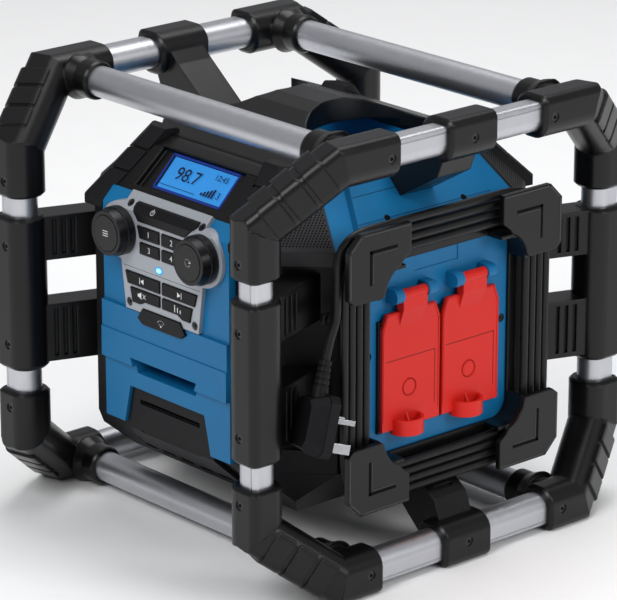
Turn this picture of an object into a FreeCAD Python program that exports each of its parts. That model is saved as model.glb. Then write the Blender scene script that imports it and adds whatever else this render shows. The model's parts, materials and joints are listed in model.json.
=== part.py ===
# Jobsite radio: an octagonal powered loudspeaker body held inside a tubular roll cage.
# Millimetres, +Z up. The front, with the keypad, faces -Y and the mains outlets face +X.
# Inside this file heights are counted from the middle of the cage. Every piece is lifted by
# HALF_HEIGHT when it is written, so the finished frame has its origin on the floor under the middle.
import FreeCAD
import Part
import math
import os

V = FreeCAD.Vector

# Cage: tube places, measured from the middle of the cage
POST_X = 148.0
POST_Y = 188.0
SIDE_BAR_X = 177.0
BAR_Z = 171.0
CROSS_BAR_Y = 115.0
TUBE_HALF = 13.0
TUBE_EDGE_R = 4.0
TUBE_ROUND_R = 12.5
TUBE_BORE_R = 10.5
TUBE_GROOVE_W = 1.0
TUBE_GROOVE_DEPTH = 0.6
TUBE_GROOVE_INSET = 5.0
SOCKET_CLEARANCE = 0.1
SLEEVE_HALF = 18.35
SLEEVE_EDGE_R = 7.0
SLEEVE_ROUND_R = 15.0
COLLAR_CHAMFER = 2.5
HALF_HEIGHT = BAR_Z + SLEEVE_HALF

# Elbows: where the sockets end and where the bumper run bends
POST_SOCKET_Z = 85.0
POST_BEND_Z = 125.0
SIDE_BEND_Y = 132.0
SIDE_SOCKET_Y = 78.0
LOW_SIDE_SOCKET_Y = 94.0
BEND_BALL_R = 17.6
BRANCH_X = 136.0
BRANCH_R = 16.5
BRANCH_ROOT_R = 20.5
BRANCH_TAPER = 10.0
SOCKET_DEPTH = 28.0
PAD_RAISE = 1.8
PAD_LENGTH = 17.0
PAD_GAP = 4.5
PAD_COUNT = 3

# Sleeves on the posts and clamps on the side bars
SLEEVE_TOP = 68.0
SLEEVE_BOTTOM = -65.0
ARM_WIDTH = 26.0
UPPER_ARM = (29.0, 67.0)
LOWER_ARM = (-60.0, -10.0)
ARM_FOOT_X = 125.0
ARM_GROOVE_W = 3.2
ARM_GROOVE_DEPTH = 3.0
ARM_GROOVE_STEP = 8.0
ARM_GROOVES = 3
CLAMP_Y = 0.0
CLAMP_HALF = 26.0
STRUT_HALF = 18.0
STRUT_THICK = 16.0
STRUT_FOOT_Z = 112.0
STRUT_RIBS = 3
STRUT_RIB_STEP = 9.0
STRUT_RIB_W = 2.6
STRUT_RIB_DEPTH = 2.4

# Body: an octagonal column with slanted tops and bottoms
BODY_X = 147.0
BODY_Y = 150.0
CORNER_SUM = 249.0
SHOULDER_Z = 86.0
ROOF_Z = 137.0
HIP_Z = -100.0
BELLY_Z = -143.0
WALL = 3.0
POCKET_HALF = 29.0
POCKET_TOP = 72.0
POCKET_BOTTOM = -80.0
POCKET_DEPTH = 6.0
BUMPER_RAISE = 8.0
BUMPER_WIDTH = 19.0
BUMPER_WRAP = 9.0
BUMPER_GROOVE = 2.0
SCALLOPS = (-72.0, -48.0, -24.0, 0.0, 24.0, 48.0, 72.0)
SCALLOP_HALF = 8.0
SCALLOP_SPAN = (-136.0, -126.0)
SCALLOP_DEPTH = 1.6
GRILLE_THICK = 2.0
SPEAKER_R = 22.0

# Front panel, band, keypad plate
PANEL_HALF = 79.5
PANEL_THICK = 7.0
PANEL_BOTTOM = -97.0
PANEL_RUN_UP = 13.5
BAND_TOP = 5.0
BAND_BOTTOM = -44.0
BAND_RAISE = 4.0
BAND_STEP_Z = -18.0
BAND_STEP = 1.0
PORT_HALF = 42.0
PORT_TOP = -37.0
PORT_BOTTOM = -50.0
PORT_LENGTH = 60.0
PORT_WALL = 2.0
PLATE_THICK = 4.0
PLATE_HALF = 50.0
PLATE_WAIST_Z = 50.0
PLATE_LOW_HALF = 46.0
PLATE_LOW_Z = 6.0
KEY_GAP = 0.4
KEY_PROUD = 1.3
KEY_FLANGE = 1.2
KEY_FLANGE_THICK = 1.5
KEY_ROOM = 2.0
KEY_TRAVEL = 1.0
SEAT_GAP = 0.3
BOARD_THICK = 1.6
BOARD_SINK = 3.0

# Knobs
KNOB_X = 52.0
KNOB_Z = 71.0
KNOB_R = 20.6
KNOB_FACE_R = 18.6
KNOB_HEIGHT = 15.0
KNOB_RING_R = 24.0
KNOB_SHAFT_R = 3.0
SHAFT_CLEARANCE = 0.06
ENCODER_R = 6.5
BUTTON_R = 15.0
BUTTON_CLEARANCE = 0.3
BUTTON_DEPTH = 5.0
BUTTON_TRAVEL = 1.0

# Display
BEZEL_RAISE = 7.0
BEZEL_END = 58.0
LCD_HALF_W = 40.0
LCD_LOW = 25.6
LCD_HIGH = 56.0
LCD_LEVEL = 2.4
WINDOW_THICK = 1.6

# Bass cover and woofer
BASS_TOP_Z = -64.0
BASS_BOTTOM_Z = -124.0
BASS_TOP_HALF = 47.0
BASS_BOTTOM_HALF = 61.0
BASS_THICK = 4.0
BASS_SLOTS = (-76.0, -103.0)
BASS_SLOT_HALF = 38.0
BASS_SLOT_H = 4.0
WOOFER_R = 62.0
WOOFER_Y = -18.0
WOOFER_HEIGHT = 58.0

# Carry handle and hand bowl
CREST_Z = 167.0
CREST_HALF = 13.0
GRIP_HALF = 26.0
GRIP_UNDER_Z = 147.0
BOWL_HALF_X = 78.0
BOWL_HALF_Y = 56.0
BOWL_FLOOR_Z = 108.0
HOLLOW_R = 62.0
COVER_ROOT_Y = 113.0
COVER_ROOT_Z = 132.0

# Outlets
OUTLET_HALF = 81.0
OUTLET_BOTTOM = -98.0
OUTLET_THICK = 5.0
OUTLET_TOP_HALF = 57.0
OUTLET_TOP_Z = 134.0
COVER_Y = 33.0
COVER_HALF = 31.4
COVER_TOP = 28.0
COVER_BOTTOM = -71.0
COVER_CHAMFER = 8.0
COVER_THICK = 3.5
COVER_SEAT = 0.3
FLANGE_HALF = 32.6
FLANGE_THICK = 3.0
HINGE_REACH = 8.0
HINGE_Z = 42.0
BARREL_R = 4.6
BARREL_HALF = 13.0
HINGE_PIN_R = 2.0
HINGE_PIN_LENGTH = 7.0
LUG_WIDTH = 9.0
LUG_R = 6.0
MODULE_HALF = 22.0
MODULE_Z = -22.0
MODULE_DEPTH = 34.0
TAB_R = 15.0
TAB_WALL = 2.4
TAB_HEIGHT = 13.0

# Cord holder and winding
DRUM_HALF = 82.5
DRUM_TOP = 73.0
DRUM_BOTTOM = -94.0
DRUM_CORNER_R = 18.0
DRUM_WALL = 3.0
FLAP_BACK = 25.0
FLAP_THICK = 5.0
FLAP_OUT = 117.0
FLAP_TOP = 108.5
FLAP_BOTTOM = -127.0
FLAP_IN = 51.0
FLAP_REACH = 57.0
FLAP_CHAMFER = 13.0
FLAP_SCOOP_R = 26.0
CORD_D = 7.0
CORD_PITCH = 7.6
CORD_TURNS = 4
CORD_STANDOFF = 16.0
CORD_LIFT = 0.6
CORD_LEAVE_R = 36.0
GLAND_Z = 50.0
GLAND_LENGTH = 8.0

# Plug on the free end: middle of its block, the way its pins point, and its lean
PLUG_MIDDLE = (168.3, -146.3, -39.6)
PLUG_PINS_TO = (0.38, 0.90, -0.28)
PLUG_LEAN_DEG = 12.0
PLUG_WIDTH = 44.0
PLUG_HEIGHT = 50.0
PLUG_THICK = 22.0
PLUG_BASE = 8.0
BOOT_LENGTH = 26.0
BOOT_WIDE_R = 7.0
BOOT_THIN_R = 5.0
PIN_SPACING = 22.2
LINE_PIN = (6.35, 4.0, 17.7)
EARTH_PIN = (4.0, 7.95, 22.7)
PIN_DROP = 5.0

# Left bay and battery pack
BAY_HALF = 44.0
BAY_TOP = 40.0
BAY_BOTTOM = -70.0
BAY_DEPTH = 74.0
TUB_WALL = 2.5
PACK_GAP = 0.3
PACK_PROUD = 4.0
PACK_PULL = 66.0
LATCH_HALF = 14.0
LATCH_HEIGHT = 12.0
LATCH_Z = 28.0
LATCH_DEPTH = 6.0
LATCH_PROUD = 2.0
LATCH_TRAVEL = 2.0

# Back bay and its door
DOOR_HALF = 56.0
DOOR_TOP = 52.0
DOOR_BOTTOM = -22.0
DOOR_THICK = 4.0
MEDIA_HALF = 50.0
MEDIA_TOP = 46.0
MEDIA_BOTTOM = -16.0
MEDIA_DEPTH = 38.0
DOOR_AXIS_Z = -28.0
DOOR_AXIS_REACH = 8.0

# Screws
SCREW_HEAD_R = 3.6
SCREW_HEAD_H = 2.2
SCREW_SHANK_R = 1.8
SCREW_SINK = 1.0
SCREW_GRIP = 6.0
SCREW_FIT = 0.1
FRAME_HOLE_Z = 99.0
SLEEVE_HOLE_Z = 43.0
SIDE_HOLE_Y = 89.0
LOW_SIDE_HOLE_Y = 108.0

# Distances that follow from the sizes above
ROOT2 = math.sqrt(2.0)
CORNER_MIDDLE_X = (BODY_X + CORNER_SUM - BODY_Y) / 2.0
CORNER_MIDDLE_Y = CORNER_SUM - CORNER_MIDDLE_X
SLOPE_LENGTH = (ROOF_Z - SHOULDER_Z) * ROOT2
PLATE_LEVEL = PANEL_THICK + PLATE_THICK
HINGE_X = BODY_X + OUTLET_THICK + HINGE_REACH
CORD_X = BODY_X + CORD_STANDOFF
FLAP_X = BODY_X + FLAP_BACK
BRANCH_ROOM_R = TUBE_HALF + SOCKET_CLEARANCE
TOOL_REACH = 400.0


class Frame:
    """A working plane: an origin, two in-plane directions and the outward normal."""

    def __init__(self, origin, u, v):
        self.o = V(*origin)
        self.u = V(*u).normalize()
        self.v = V(*v).normalize()
        self.n = self.u.cross(self.v)

    def at(self, a, b, c=0.0):
        return self.o + self.u * a + self.v * b + self.n * c


FRONT = Frame((0, -BODY_Y, 0), (1, 0, 0), (0, 0, 1))
BACK = Frame((0, BODY_Y, 0), (-1, 0, 0), (0, 0, 1))
RIGHT = Frame((BODY_X, 0, 0), (0, 1, 0), (0, 0, 1))
LEFT = Frame((-BODY_X, 0, 0), (0, -1, 0), (0, 0, 1))
FRONT_SLANT = Frame((0, -BODY_Y, SHOULDER_Z), (1, 0, 0), (0, 1, 1))
BACK_SLANT = Frame((0, BODY_Y, SHOULDER_Z), (-1, 0, 0), (0, -1, 1))
CORNERS = [(sx, sy) for sx in (-1, 1) for sy in (-1, 1)]
OCTANTS = [(sx, sy, sz) for sx, sy in CORNERS for sz in (-1, 1)]


def corner_frame(sx, sy):
    """The upright corner face."""
    middle = (sx * CORNER_MIDDLE_X, sy * CORNER_MIDDLE_Y, 0)
    return Frame(middle, (-sy, sx, 0), (0, 0, 1))


def corner_slant_frame(sx, sy):
    """The leaning face above an upright corner face."""
    middle = (sx * CORNER_MIDDLE_X, sy * CORNER_MIDDLE_Y, SHOULDER_Z)
    return Frame(middle, (-sy, sx, 0), (-sx, -sy, ROOT2))


# Shape helpers

def polygon(points):
    return Part.Face(Part.makePolygon(list(points) + [points[0]]))


def prism(frame, points, low, high):
    """Extrude an outline, given in the frame's plane, from one normal height to another."""
    face = polygon([frame.at(a, b, low) for a, b in points])
    return face.extrude(frame.n * (high - low))


def grown_prism(frame, points, by, low, high):
    """The same outline made larger all round."""
    face = polygon([frame.at(a, b, low) for a, b in points])
    return face.makeOffset2D(by, 2).extrude(frame.n * (high - low))


def rect(half, low, high):
    return [(-half, low), (half, low), (half, high), (-half, high)]


def box(x0, x1, y0, y1, z0, z1):
    return Part.makeBox(x1 - x0, y1 - y0, z1 - z0, V(x0, y0, z0))


def rod(start, end, radius):
    along = end - start
    return Part.makeCylinder(radius, along.Length, start, along)


def taper(start, end, start_r, end_r):
    along = end - start
    return Part.makeCone(start_r, end_r, along.Length, start, along)


def join(shapes):
    return shapes[0].multiFuse(shapes[1:]).removeSplitter()


def carve(shape, tools):
    return shape.cut(Part.makeCompound(list(tools)))


def mirrored(shape, sx, sy, sz):
    for sign, normal in ((sx, V(1, 0, 0)), (sy, V(0, 1, 0)), (sz, V(0, 0, 1))):
        if sign < 0:
            shape = shape.mirror(V(0, 0, 0), normal)
    return shape


def half_space(point, normal):
    """A large block filling the side of a plane that its normal points to."""
    size = 2 * TOOL_REACH
    block = Part.makeBox(size, size, size, V(-size / 2, -size / 2, 0))
    block.Placement = FreeCAD.Placement(point, FreeCAD.Rotation(V(0, 0, 1), normal))
    return block


def rounded_square(start, u, v, half, edge_r, round_r):
    """A square section whose (+u, +v) corner is sharper than its other three."""
    corners = [(1, 1, edge_r), (-1, 1, round_r), (-1, -1, round_r), (1, -1, round_r)]
    edges = []
    tips = []
    for su, sv, radius in corners:
        first = (su * half, sv * (half - radius))
        last = (su * (half - radius), sv * half)
        if su * sv < 0:
            first, last = last, first
        bend = radius * (1 - 1 / ROOT2)
        middle = (su * (half - bend), sv * (half - bend))
        tips.append([start + u * a + v * b for a, b in (first, middle, last)])
    for index, (first, middle, last) in enumerate(tips):
        edges.append(Part.Arc(first, middle, last).toShape())
        edges.append(Part.LineSegment(last, tips[(index + 1) % 4][0]).toShape())
    return Part.Face(Part.Wire(edges))


def round_bar(start, end, u, v, half, edge_r, round_r):
    return rounded_square(start, u, v, half, edge_r, round_r).extrude(end - start)


# Body envelope: the outer surface moved outwards by an offset

def leaning_profile(direction, half, low_slant, offset):
    """A wide slab that cuts the slants across one horizontal direction."""
    across = V(0, 0, 1).cross(direction)
    top = ROOF_Z + offset
    bottom = BELLY_Z - offset
    side = half + offset
    reach = half + SHOULDER_Z + offset * ROOT2
    outline = [(reach - top, top), (side, reach - side)]
    if low_slant:
        low_reach = half - HIP_Z + offset * ROOT2
        outline += [(side, side - low_reach), (low_reach + bottom, bottom)]
    else:
        outline += [(side, bottom)]
    outline += [(-s, z) for s, z in reversed(outline)]
    start = across * -TOOL_REACH
    face = polygon([start + direction * s + V(0, 0, z) for s, z in outline])
    return face.extrude(across * (2 * TOOL_REACH))


def envelope(offset):
    slab = leaning_profile(V(1, 0, 0), BODY_X, True, offset)
    slab = slab.common(leaning_profile(V(0, 1, 0), BODY_Y, True, offset))
    for sy in (-1, 1):
        direction = V(1, sy, 0).normalize()
        slab = slab.common(leaning_profile(direction, CORNER_SUM / ROOT2, False, offset))
    return slab


def layer(z0, z1):
    return box(-TOOL_REACH, TOOL_REACH, -TOOL_REACH, TOOL_REACH, z0, z1)


BODY = envelope(0.0)
INNER = envelope(-WALL)


def skin(thickness, region):
    """A panel of one thickness lying on the body inside a region."""
    return region.common(envelope(thickness)).cut(BODY)


# Cage

def tube(start, end, u, v):
    """A tube with one sharper outward edge, a groove beside it and a round bore."""
    bar = round_bar(start, end, u, v, TUBE_HALF, TUBE_EDGE_R, TUBE_ROUND_R)
    groove_at = start + u * (TUBE_HALF - TUBE_GROOVE_DEPTH) + v * (TUBE_HALF - TUBE_GROOVE_INSET)
    corners = [(0, 0), (TUBE_HALF, 0), (TUBE_HALF, TUBE_GROOVE_W), (0, TUBE_GROOVE_W)]
    groove = polygon([groove_at + u * a + v * b for a, b in corners]).extrude(end - start)
    return bar.cut(rod(start, end, TUBE_BORE_R)).cut(groove)


def frame_screw_sites():
    """Where a screw holds the cage: surface point and outward direction."""
    sites = []
    for sx, sy, sz in OCTANTS:
        sites.append((V(sx * POST_X, sy * (POST_Y + SLEEVE_HALF), sz * FRAME_HOLE_Z), V(0, sy, 0)))
        hole_y = SIDE_HOLE_Y if sz > 0 else LOW_SIDE_HOLE_Y
        sites.append((V(sx * (SIDE_BAR_X + SLEEVE_HALF), sy * hole_y, sz * BAR_Z), V(sx, 0, 0)))
    for sx, sy in CORNERS:
        for sz in (-1, 1):
            place = V(sx * POST_X, sy * (POST_Y + SLEEVE_HALF), sz * SLEEVE_HOLE_Z)
            sites.append((place, V(0, sy, 0)))
        sites.append((V(sx * (SIDE_BAR_X + SLEEVE_HALF), CLAMP_Y, sy * BAR_Z), V(sx, 0, 0)))
    return sites


def screw(place, out):
    """A pan head sunk a little below the surface, with a blind drive recess."""
    seat = place - out * SCREW_SINK
    head = rod(seat - out * SCREW_HEAD_H, seat, SCREW_HEAD_R)
    head = head.cut(rod(seat - out * (SCREW_HEAD_H / 2), seat, SCREW_HEAD_R / 2.5))
    shank = rod(seat - out * (SCREW_HEAD_H + SCREW_GRIP), seat - out * SCREW_HEAD_H, SCREW_SHANK_R)
    return head.fuse(shank).removeSplitter()


def screw_hole(place, out):
    seat = place - out * SCREW_SINK
    head = rod(seat - out * SCREW_HEAD_H, place + out, SCREW_HEAD_R + SCREW_FIT)
    shank = rod(seat - out * (SCREW_HEAD_H + SCREW_GRIP), seat, SCREW_SHANK_R + SCREW_FIT)
    return head.fuse(shank)


def drilled(shape, sites):
    """Cut only the holes that reach this shape."""
    room = shape.BoundBox
    room.enlarge(SCREW_HEAD_H + SCREW_GRIP)
    near = [screw_hole(place, out) for place, out in sites if room.isInside(place)]
    return carve(shape, near) if near else shape


def corner_tubes():
    reach = POST_SOCKET_Z + SOCKET_DEPTH
    tubes = []
    for sx, sy in CORNERS:
        start = V(sx * POST_X, sy * POST_Y, -reach)
        end = V(sx * POST_X, sy * POST_Y, reach)
        tubes.append(tube(start, end, V(0, sy, 0), V(sx, 0, 0)))
    return tubes


def side_tubes():
    tubes = []
    for sx in (-1, 1):
        for sz in (-1, 1):
            reach = (SIDE_SOCKET_Y if sz > 0 else LOW_SIDE_SOCKET_Y) + SOCKET_DEPTH
            start = V(sx * SIDE_BAR_X, -reach, sz * BAR_Z)
            end = V(sx * SIDE_BAR_X, reach, sz * BAR_Z)
            tubes.append(tube(start, end, V(sx, 0, 0), V(0, 0, sz)))
    return tubes


def cross_tubes():
    reach = BRANCH_X + SOCKET_DEPTH - COLLAR_CHAMFER
    tubes = []
    for sy in (-1, 1):
        for sz in (-1, 1):
            start = V(-reach, sy * CROSS_BAR_Y, sz * BAR_Z)
            end = V(reach, sy * CROSS_BAR_Y, sz * BAR_Z)
            tubes.append(rod(start, end, TUBE_HALF).cut(rod(start, end, TUBE_BORE_R)))
    return tubes


def collared(start, end, u, v):
    """A sleeve whose start has a chamfered collar."""
    along = (end - start).normalize()
    waist = start + along * COLLAR_CHAMFER
    lip = SLEEVE_HALF - COLLAR_CHAMFER
    small = rounded_square(start, u, v, lip, SLEEVE_EDGE_R - COLLAR_CHAMFER / 2,
                           SLEEVE_ROUND_R - COLLAR_CHAMFER)
    large = rounded_square(waist, u, v, SLEEVE_HALF, SLEEVE_EDGE_R, SLEEVE_ROUND_R)
    collar = Part.makeLoft([small.OuterWire, large.OuterWire], True, True)
    return collar.fuse(large.extrude(end - waist))


def socket(start, end, u, v):
    """The room that a tube of the cage needs, with its clearance."""
    grow = SOCKET_CLEARANCE
    return round_bar(start, end, u, v, TUBE_HALF + grow, TUBE_EDGE_R + grow, TUBE_ROUND_R + grow)


def elbow(side_end):
    """The elbow of the front right top corner; the others are mirror images of it."""
    low = V(POST_X, -POST_Y, POST_BEND_Z)
    high = V(SIDE_BAR_X, -SIDE_BEND_Y, BAR_Z)
    along = (high - low).normalize()
    outward = V(1, -1, 1) - along * V(1, -1, 1).dot(along)
    outward.normalize()
    aside = along.cross(outward)
    u = (outward + aside).normalize()
    v = (outward - aside).normalize()
    overrun = SLEEVE_HALF
    post_start = V(POST_X, -POST_Y, POST_SOCKET_Z)
    side_start = V(SIDE_BAR_X, -side_end, BAR_Z)
    post = collared(post_start, low + V(0, 0, overrun), V(1, 0, 0), V(0, -1, 0))
    side = collared(side_start, high - V(0, overrun, 0), V(1, 0, 0), V(0, 0, 1))
    run = round_bar(low - along * overrun, high + along * overrun, u, v, SLEEVE_HALF, SLEEVE_EDGE_R,
                    SLEEVE_ROUND_R)
    low_bisector = (along + V(0, 0, 1)).normalize()
    high_bisector = (along + V(0, 1, 0)).normalize()
    post = post.cut(half_space(low, low_bisector))
    side = side.cut(half_space(high, high_bisector * -1))
    run = run.cut(half_space(low, low_bisector * -1)).cut(half_space(high, high_bisector))
    pieces = [run, post, side]
    pieces += [Part.makeSphere(BEND_BALL_R, low), Part.makeSphere(BEND_BALL_R, high)]
    pieces += bumper_pads(low, high, along, u, v, outward)
    pieces += branch()
    shape = join(pieces)
    post_room = socket(post_start - V(0, 0, 1), post_start + V(0, 0, SOCKET_DEPTH), V(1, 0, 0), V(0, -1, 0))
    side_room = socket(side_start + V(0, 1, 0), side_start - V(0, SOCKET_DEPTH, 0), V(1, 0, 0), V(0, 0, 1))
    shape = shape.cut(post_room).cut(side_room)
    mouth = V(BRANCH_X - COLLAR_CHAMFER, -CROSS_BAR_Y, BAR_Z)
    shape = shape.cut(rod(mouth - V(1, 0, 0), mouth + V(SOCKET_DEPTH, 0, 0), BRANCH_ROOM_R))
    limits = box(0, SIDE_BAR_X + SLEEVE_HALF, -POST_Y - SLEEVE_HALF, 0, 0, HALF_HEIGHT)
    shape = shape.common(limits)
    return shape


def bumper_pads(low, high, along, u, v, outward):
    """Raised pads along the outer side of the slanted run."""
    span = PAD_COUNT * PAD_LENGTH + (PAD_COUNT - 1) * PAD_GAP
    first = (low + high) * 0.5 - along * (span / 2)
    pads = []
    for index in range(PAD_COUNT):
        start = first + along * (index * (PAD_LENGTH + PAD_GAP))
        end = start + along * PAD_LENGTH
        pad = round_bar(start, end, u, v, SLEEVE_HALF + PAD_RAISE, SLEEVE_EDGE_R, SLEEVE_ROUND_R)
        pads.append(pad.common(half_space(start + outward * (SLEEVE_HALF / 3), outward)))
    return pads


def branch():
    """The tee that takes the cross bar."""
    root = V(SIDE_BAR_X, -CROSS_BAR_Y, BAR_Z)
    shoulder = V(SIDE_BAR_X - SLEEVE_HALF, -CROSS_BAR_Y, BAR_Z)
    neck = shoulder - V(BRANCH_TAPER, 0, 0)
    mouth = V(BRANCH_X, -CROSS_BAR_Y, BAR_Z)
    lip = mouth - V(COLLAR_CHAMFER, 0, 0)
    tip_r = BRANCH_R - COLLAR_CHAMFER / 2
    return [rod(neck, root, BRANCH_R), taper(shoulder, neck, BRANCH_ROOT_R, BRANCH_R),
            rod(mouth, neck, BRANCH_R), taper(mouth, lip, BRANCH_R, tip_r)]


def arm(z0, z1):
    """A grooved web from a post sleeve to the pocket in the body's upright corner face."""
    post = V(POST_X, -POST_Y, 0)
    corner = corner_frame(1, -1)
    foot_y = -(CORNER_SUM - ARM_FOOT_X)
    toward = (V(ARM_FOOT_X, foot_y, 0) - post).normalize()
    aside = V(0, 0, 1).cross(toward)
    half = ARM_WIDTH / 2
    length = (V(ARM_FOOT_X, foot_y, 0) - post).Length
    corners = [(0, -half), (length * 2, -half), (length * 2, half), (0, half)]
    web = polygon([post + toward * a + aside * b + V(0, 0, z0) for a, b in corners])
    web = web.extrude(V(0, 0, z1 - z0))
    web = web.cut(half_space(corner.at(0, 0, -POCKET_DEPTH), corner.n * -1))
    grooves = []
    for side in (-1, 1):
        for index in range(ARM_GROOVES):
            start = SLEEVE_HALF + 4.0 + index * ARM_GROOVE_STEP
            deep = side * (half - ARM_GROOVE_DEPTH)
            shallow = side * (half + 1)
            corners = [(start, deep), (start + ARM_GROOVE_W, deep), (start + ARM_GROOVE_W, shallow),
                       (start, shallow)]
            cut = polygon([post + toward * a + aside * b + V(0, 0, z0 + 4) for a, b in corners])
            grooves.append(cut.extrude(V(0, 0, z1 - z0 - 8)))
    return carve(web, grooves)


def post_sleeve():
    """The sleeve of the front right post."""
    middle = V(POST_X, -POST_Y, 0)
    bottom = V(POST_X, -POST_Y, SLEEVE_BOTTOM)
    top = V(POST_X, -POST_Y, SLEEVE_TOP)
    shape = join([collared(bottom, middle, V(1, 0, 0), V(0, -1, 0)),
                  collared(top, middle, V(1, 0, 0), V(0, -1, 0)),
                  arm(*UPPER_ARM), arm(*LOWER_ARM)])
    return shape.cut(socket(bottom - V(0, 0, 1), top + V(0, 0, 1), V(1, 0, 0), V(0, -1, 0)))


def bar_clamp(top):
    """The clamp of the right side bar and its strut down, or up, to the body's slant."""
    z = BAR_Z
    ends = [V(SIDE_BAR_X, CLAMP_Y + s * CLAMP_HALF, z) for s in (-1, 1)]
    middle = V(SIDE_BAR_X, CLAMP_Y, z)
    sleeve = [collared(end, middle, V(1, 0, 0), V(0, 0, 1)) for end in ends]
    lift = OUTLET_THICK if top else 0.0
    shoulder = SHOULDER_Z if top else -HIP_Z
    reach = BODY_X + shoulder + lift * ROOT2
    foot_z = STRUT_FOOT_Z
    foot_x = reach - foot_z
    high_z = foot_z + STRUT_THICK * 1.3
    outline = [(SIDE_BAR_X + 2, z - SLEEVE_HALF + 3), (SIDE_BAR_X - 6, z - SLEEVE_HALF - 16),
               (foot_x, foot_z), (reach - high_z, high_z),
               (SIDE_BAR_X - SLEEVE_HALF - 10, z - 6), (SIDE_BAR_X - SLEEVE_HALF + 3, z + 6)]
    start = V(0, CLAMP_Y - STRUT_HALF, 0)
    strut = polygon([start + V(x, 0, height) for x, height in outline]).extrude(V(0, 2 * STRUT_HALF, 0))
    strut = carve(strut, strut_grooves(outline))
    if not top:
        strut = strut.cut(envelope(0.0).mirror(V(0, 0, 0), V(0, 0, 1)))
    shape = join(sleeve + [strut])
    shape = shape.cut(socket(ends[0] - V(0, 1, 0), ends[1] + V(0, 1, 0), V(1, 0, 0), V(0, 0, 1)))
    return shape if top else shape.mirror(V(0, 0, 0), V(0, 0, 1))


def strut_grooves(outline):
    """Slots across the outer face of a strut."""
    (x0, z0), (x1, z1) = outline[1], outline[2]
    along = V(x1 - x0, 0, z1 - z0).normalize()
    out = V(-along.z, 0, along.x)
    if out.x < 0:
        out = out * -1
    cuts = []
    for index in range(STRUT_RIBS):
        start = V(x0, CLAMP_Y - STRUT_HALF / 2, z0) + along * (8.0 + index * STRUT_RIB_STEP)
        corners = [start + out, start + along * STRUT_RIB_W + out,
                   start + along * STRUT_RIB_W - out * STRUT_RIB_DEPTH, start - out * STRUT_RIB_DEPTH]
        cuts.append(polygon(corners).extrude(V(0, STRUT_HALF, 0)))
    return cuts


# Housings

def pocket(sx, sy, grow, depth):
    """The tall recess in an upright corner face where the cage arms land."""
    frame = corner_frame(sx, sy)
    return prism(frame, rect(POCKET_HALF + grow, POCKET_BOTTOM - grow, POCKET_TOP + grow), -depth,
                 TUBE_HALF)


def main_housing():
    shell = BODY.common(layer(HIP_Z, SHOULDER_Z))
    cavity = INNER.common(layer(HIP_Z - 1, SHOULDER_Z + 1))
    cavity = carve(cavity, [pocket(sx, sy, WALL, POCKET_DEPTH + WALL) for sx, sy in CORNERS])
    shell = shell.cut(cavity)
    tools = [pocket(sx, sy, 0.0, POCKET_DEPTH) for sx, sy in CORNERS]
    window = rect(PLATE_HALF - 2, -6.0, SHOULDER_Z - 4.0)
    tools.append(prism(FRONT, window, -WALL - 1, 1))
    tools.append(prism(FRONT, rect(PORT_HALF + PORT_WALL, PORT_BOTTOM - PORT_WALL, PORT_TOP + PORT_WALL),
                       -WALL - 1, 1))
    tools.append(prism(FRONT, rect(BASS_SLOT_HALF, BASS_SLOTS[0] - 12, BASS_SLOTS[0] + 6), -WALL - 1, 1))
    for side in (-1, 1):
        tools.append(module_block(side, SEAT_GAP, WALL + 1))
        hub = FRONT.at(side * KNOB_X, KNOB_Z, -WALL - 1)
        tools.append(rod(hub, hub + FRONT.n * (WALL + 2), ENCODER_R + SEAT_GAP))
    tools.append(prism(LEFT, rect(BAY_HALF + TUB_WALL, BAY_BOTTOM - TUB_WALL, BAY_TOP + TUB_WALL),
                       -WALL - 1, 1))
    tools.append(prism(BACK, rect(MEDIA_HALF + TUB_WALL, MEDIA_BOTTOM - TUB_WALL, MEDIA_TOP + TUB_WALL),
                       -WALL - 1, 1))
    shell = carve(shell, tools)
    return drilled(shell, panel_screw_sites())


def bowl_outline(grow):
    """The hand bowl under the grip: wide above, narrower at its floor."""
    return box(-BOWL_HALF_X - grow, BOWL_HALF_X + grow, -BOWL_HALF_Y - grow, BOWL_HALF_Y + grow,
               BOWL_FLOOR_Z - grow, ROOF_Z + TUBE_HALF)


def top_housing():
    above = layer(SHOULDER_Z, ROOF_Z + 1)
    shell = BODY.common(above).cut(INNER.common(layer(SHOULDER_Z - 1, ROOF_Z)))
    shell = shell.fuse(bowl_outline(WALL).common(BODY)).cut(bowl_outline(0.0))
    lcd = rect(LCD_HALF_W + 3, LCD_LOW - 3, LCD_HIGH + 1)
    tools = [prism(FRONT_SLANT, lcd, -WALL - 1, 1)]
    for sx, sy in CORNERS:
        frame = corner_slant_frame(sx, sy)
        middle = SLOPE_LENGTH * 0.4
        tools.append(rod(frame.at(0, middle, -WALL - 1), frame.at(0, middle, 1), SPEAKER_R - 4))
    shell = carve(shell, tools).removeSplitter()
    return drilled(shell, panel_screw_sites())



def base_housing():
    shell = BODY.common(layer(BELLY_Z, HIP_Z)).cut(INNER.common(layer(BELLY_Z, HIP_Z + 1)))
    slots = []
    count = 9
    pitch = 11.0
    for index in range(count):
        x = (index - (count - 1) / 2) * pitch
        reach = math.sqrt((WOOFER_R - 10) ** 2 - x * x)
        slots.append(box(x - 2.5, x + 2.5, WOOFER_Y - reach, WOOFER_Y + reach, BELLY_Z - 1,
                         BELLY_Z + WALL + 1))
    for x in SCALLOPS:
        room = box(x - SCALLOP_HALF, x + SCALLOP_HALF, -BODY_Y - 1, 0, *SCALLOP_SPAN)
        slots.append(room.cut(envelope(-SCALLOP_DEPTH)))
    return carve(shell, slots)


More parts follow.
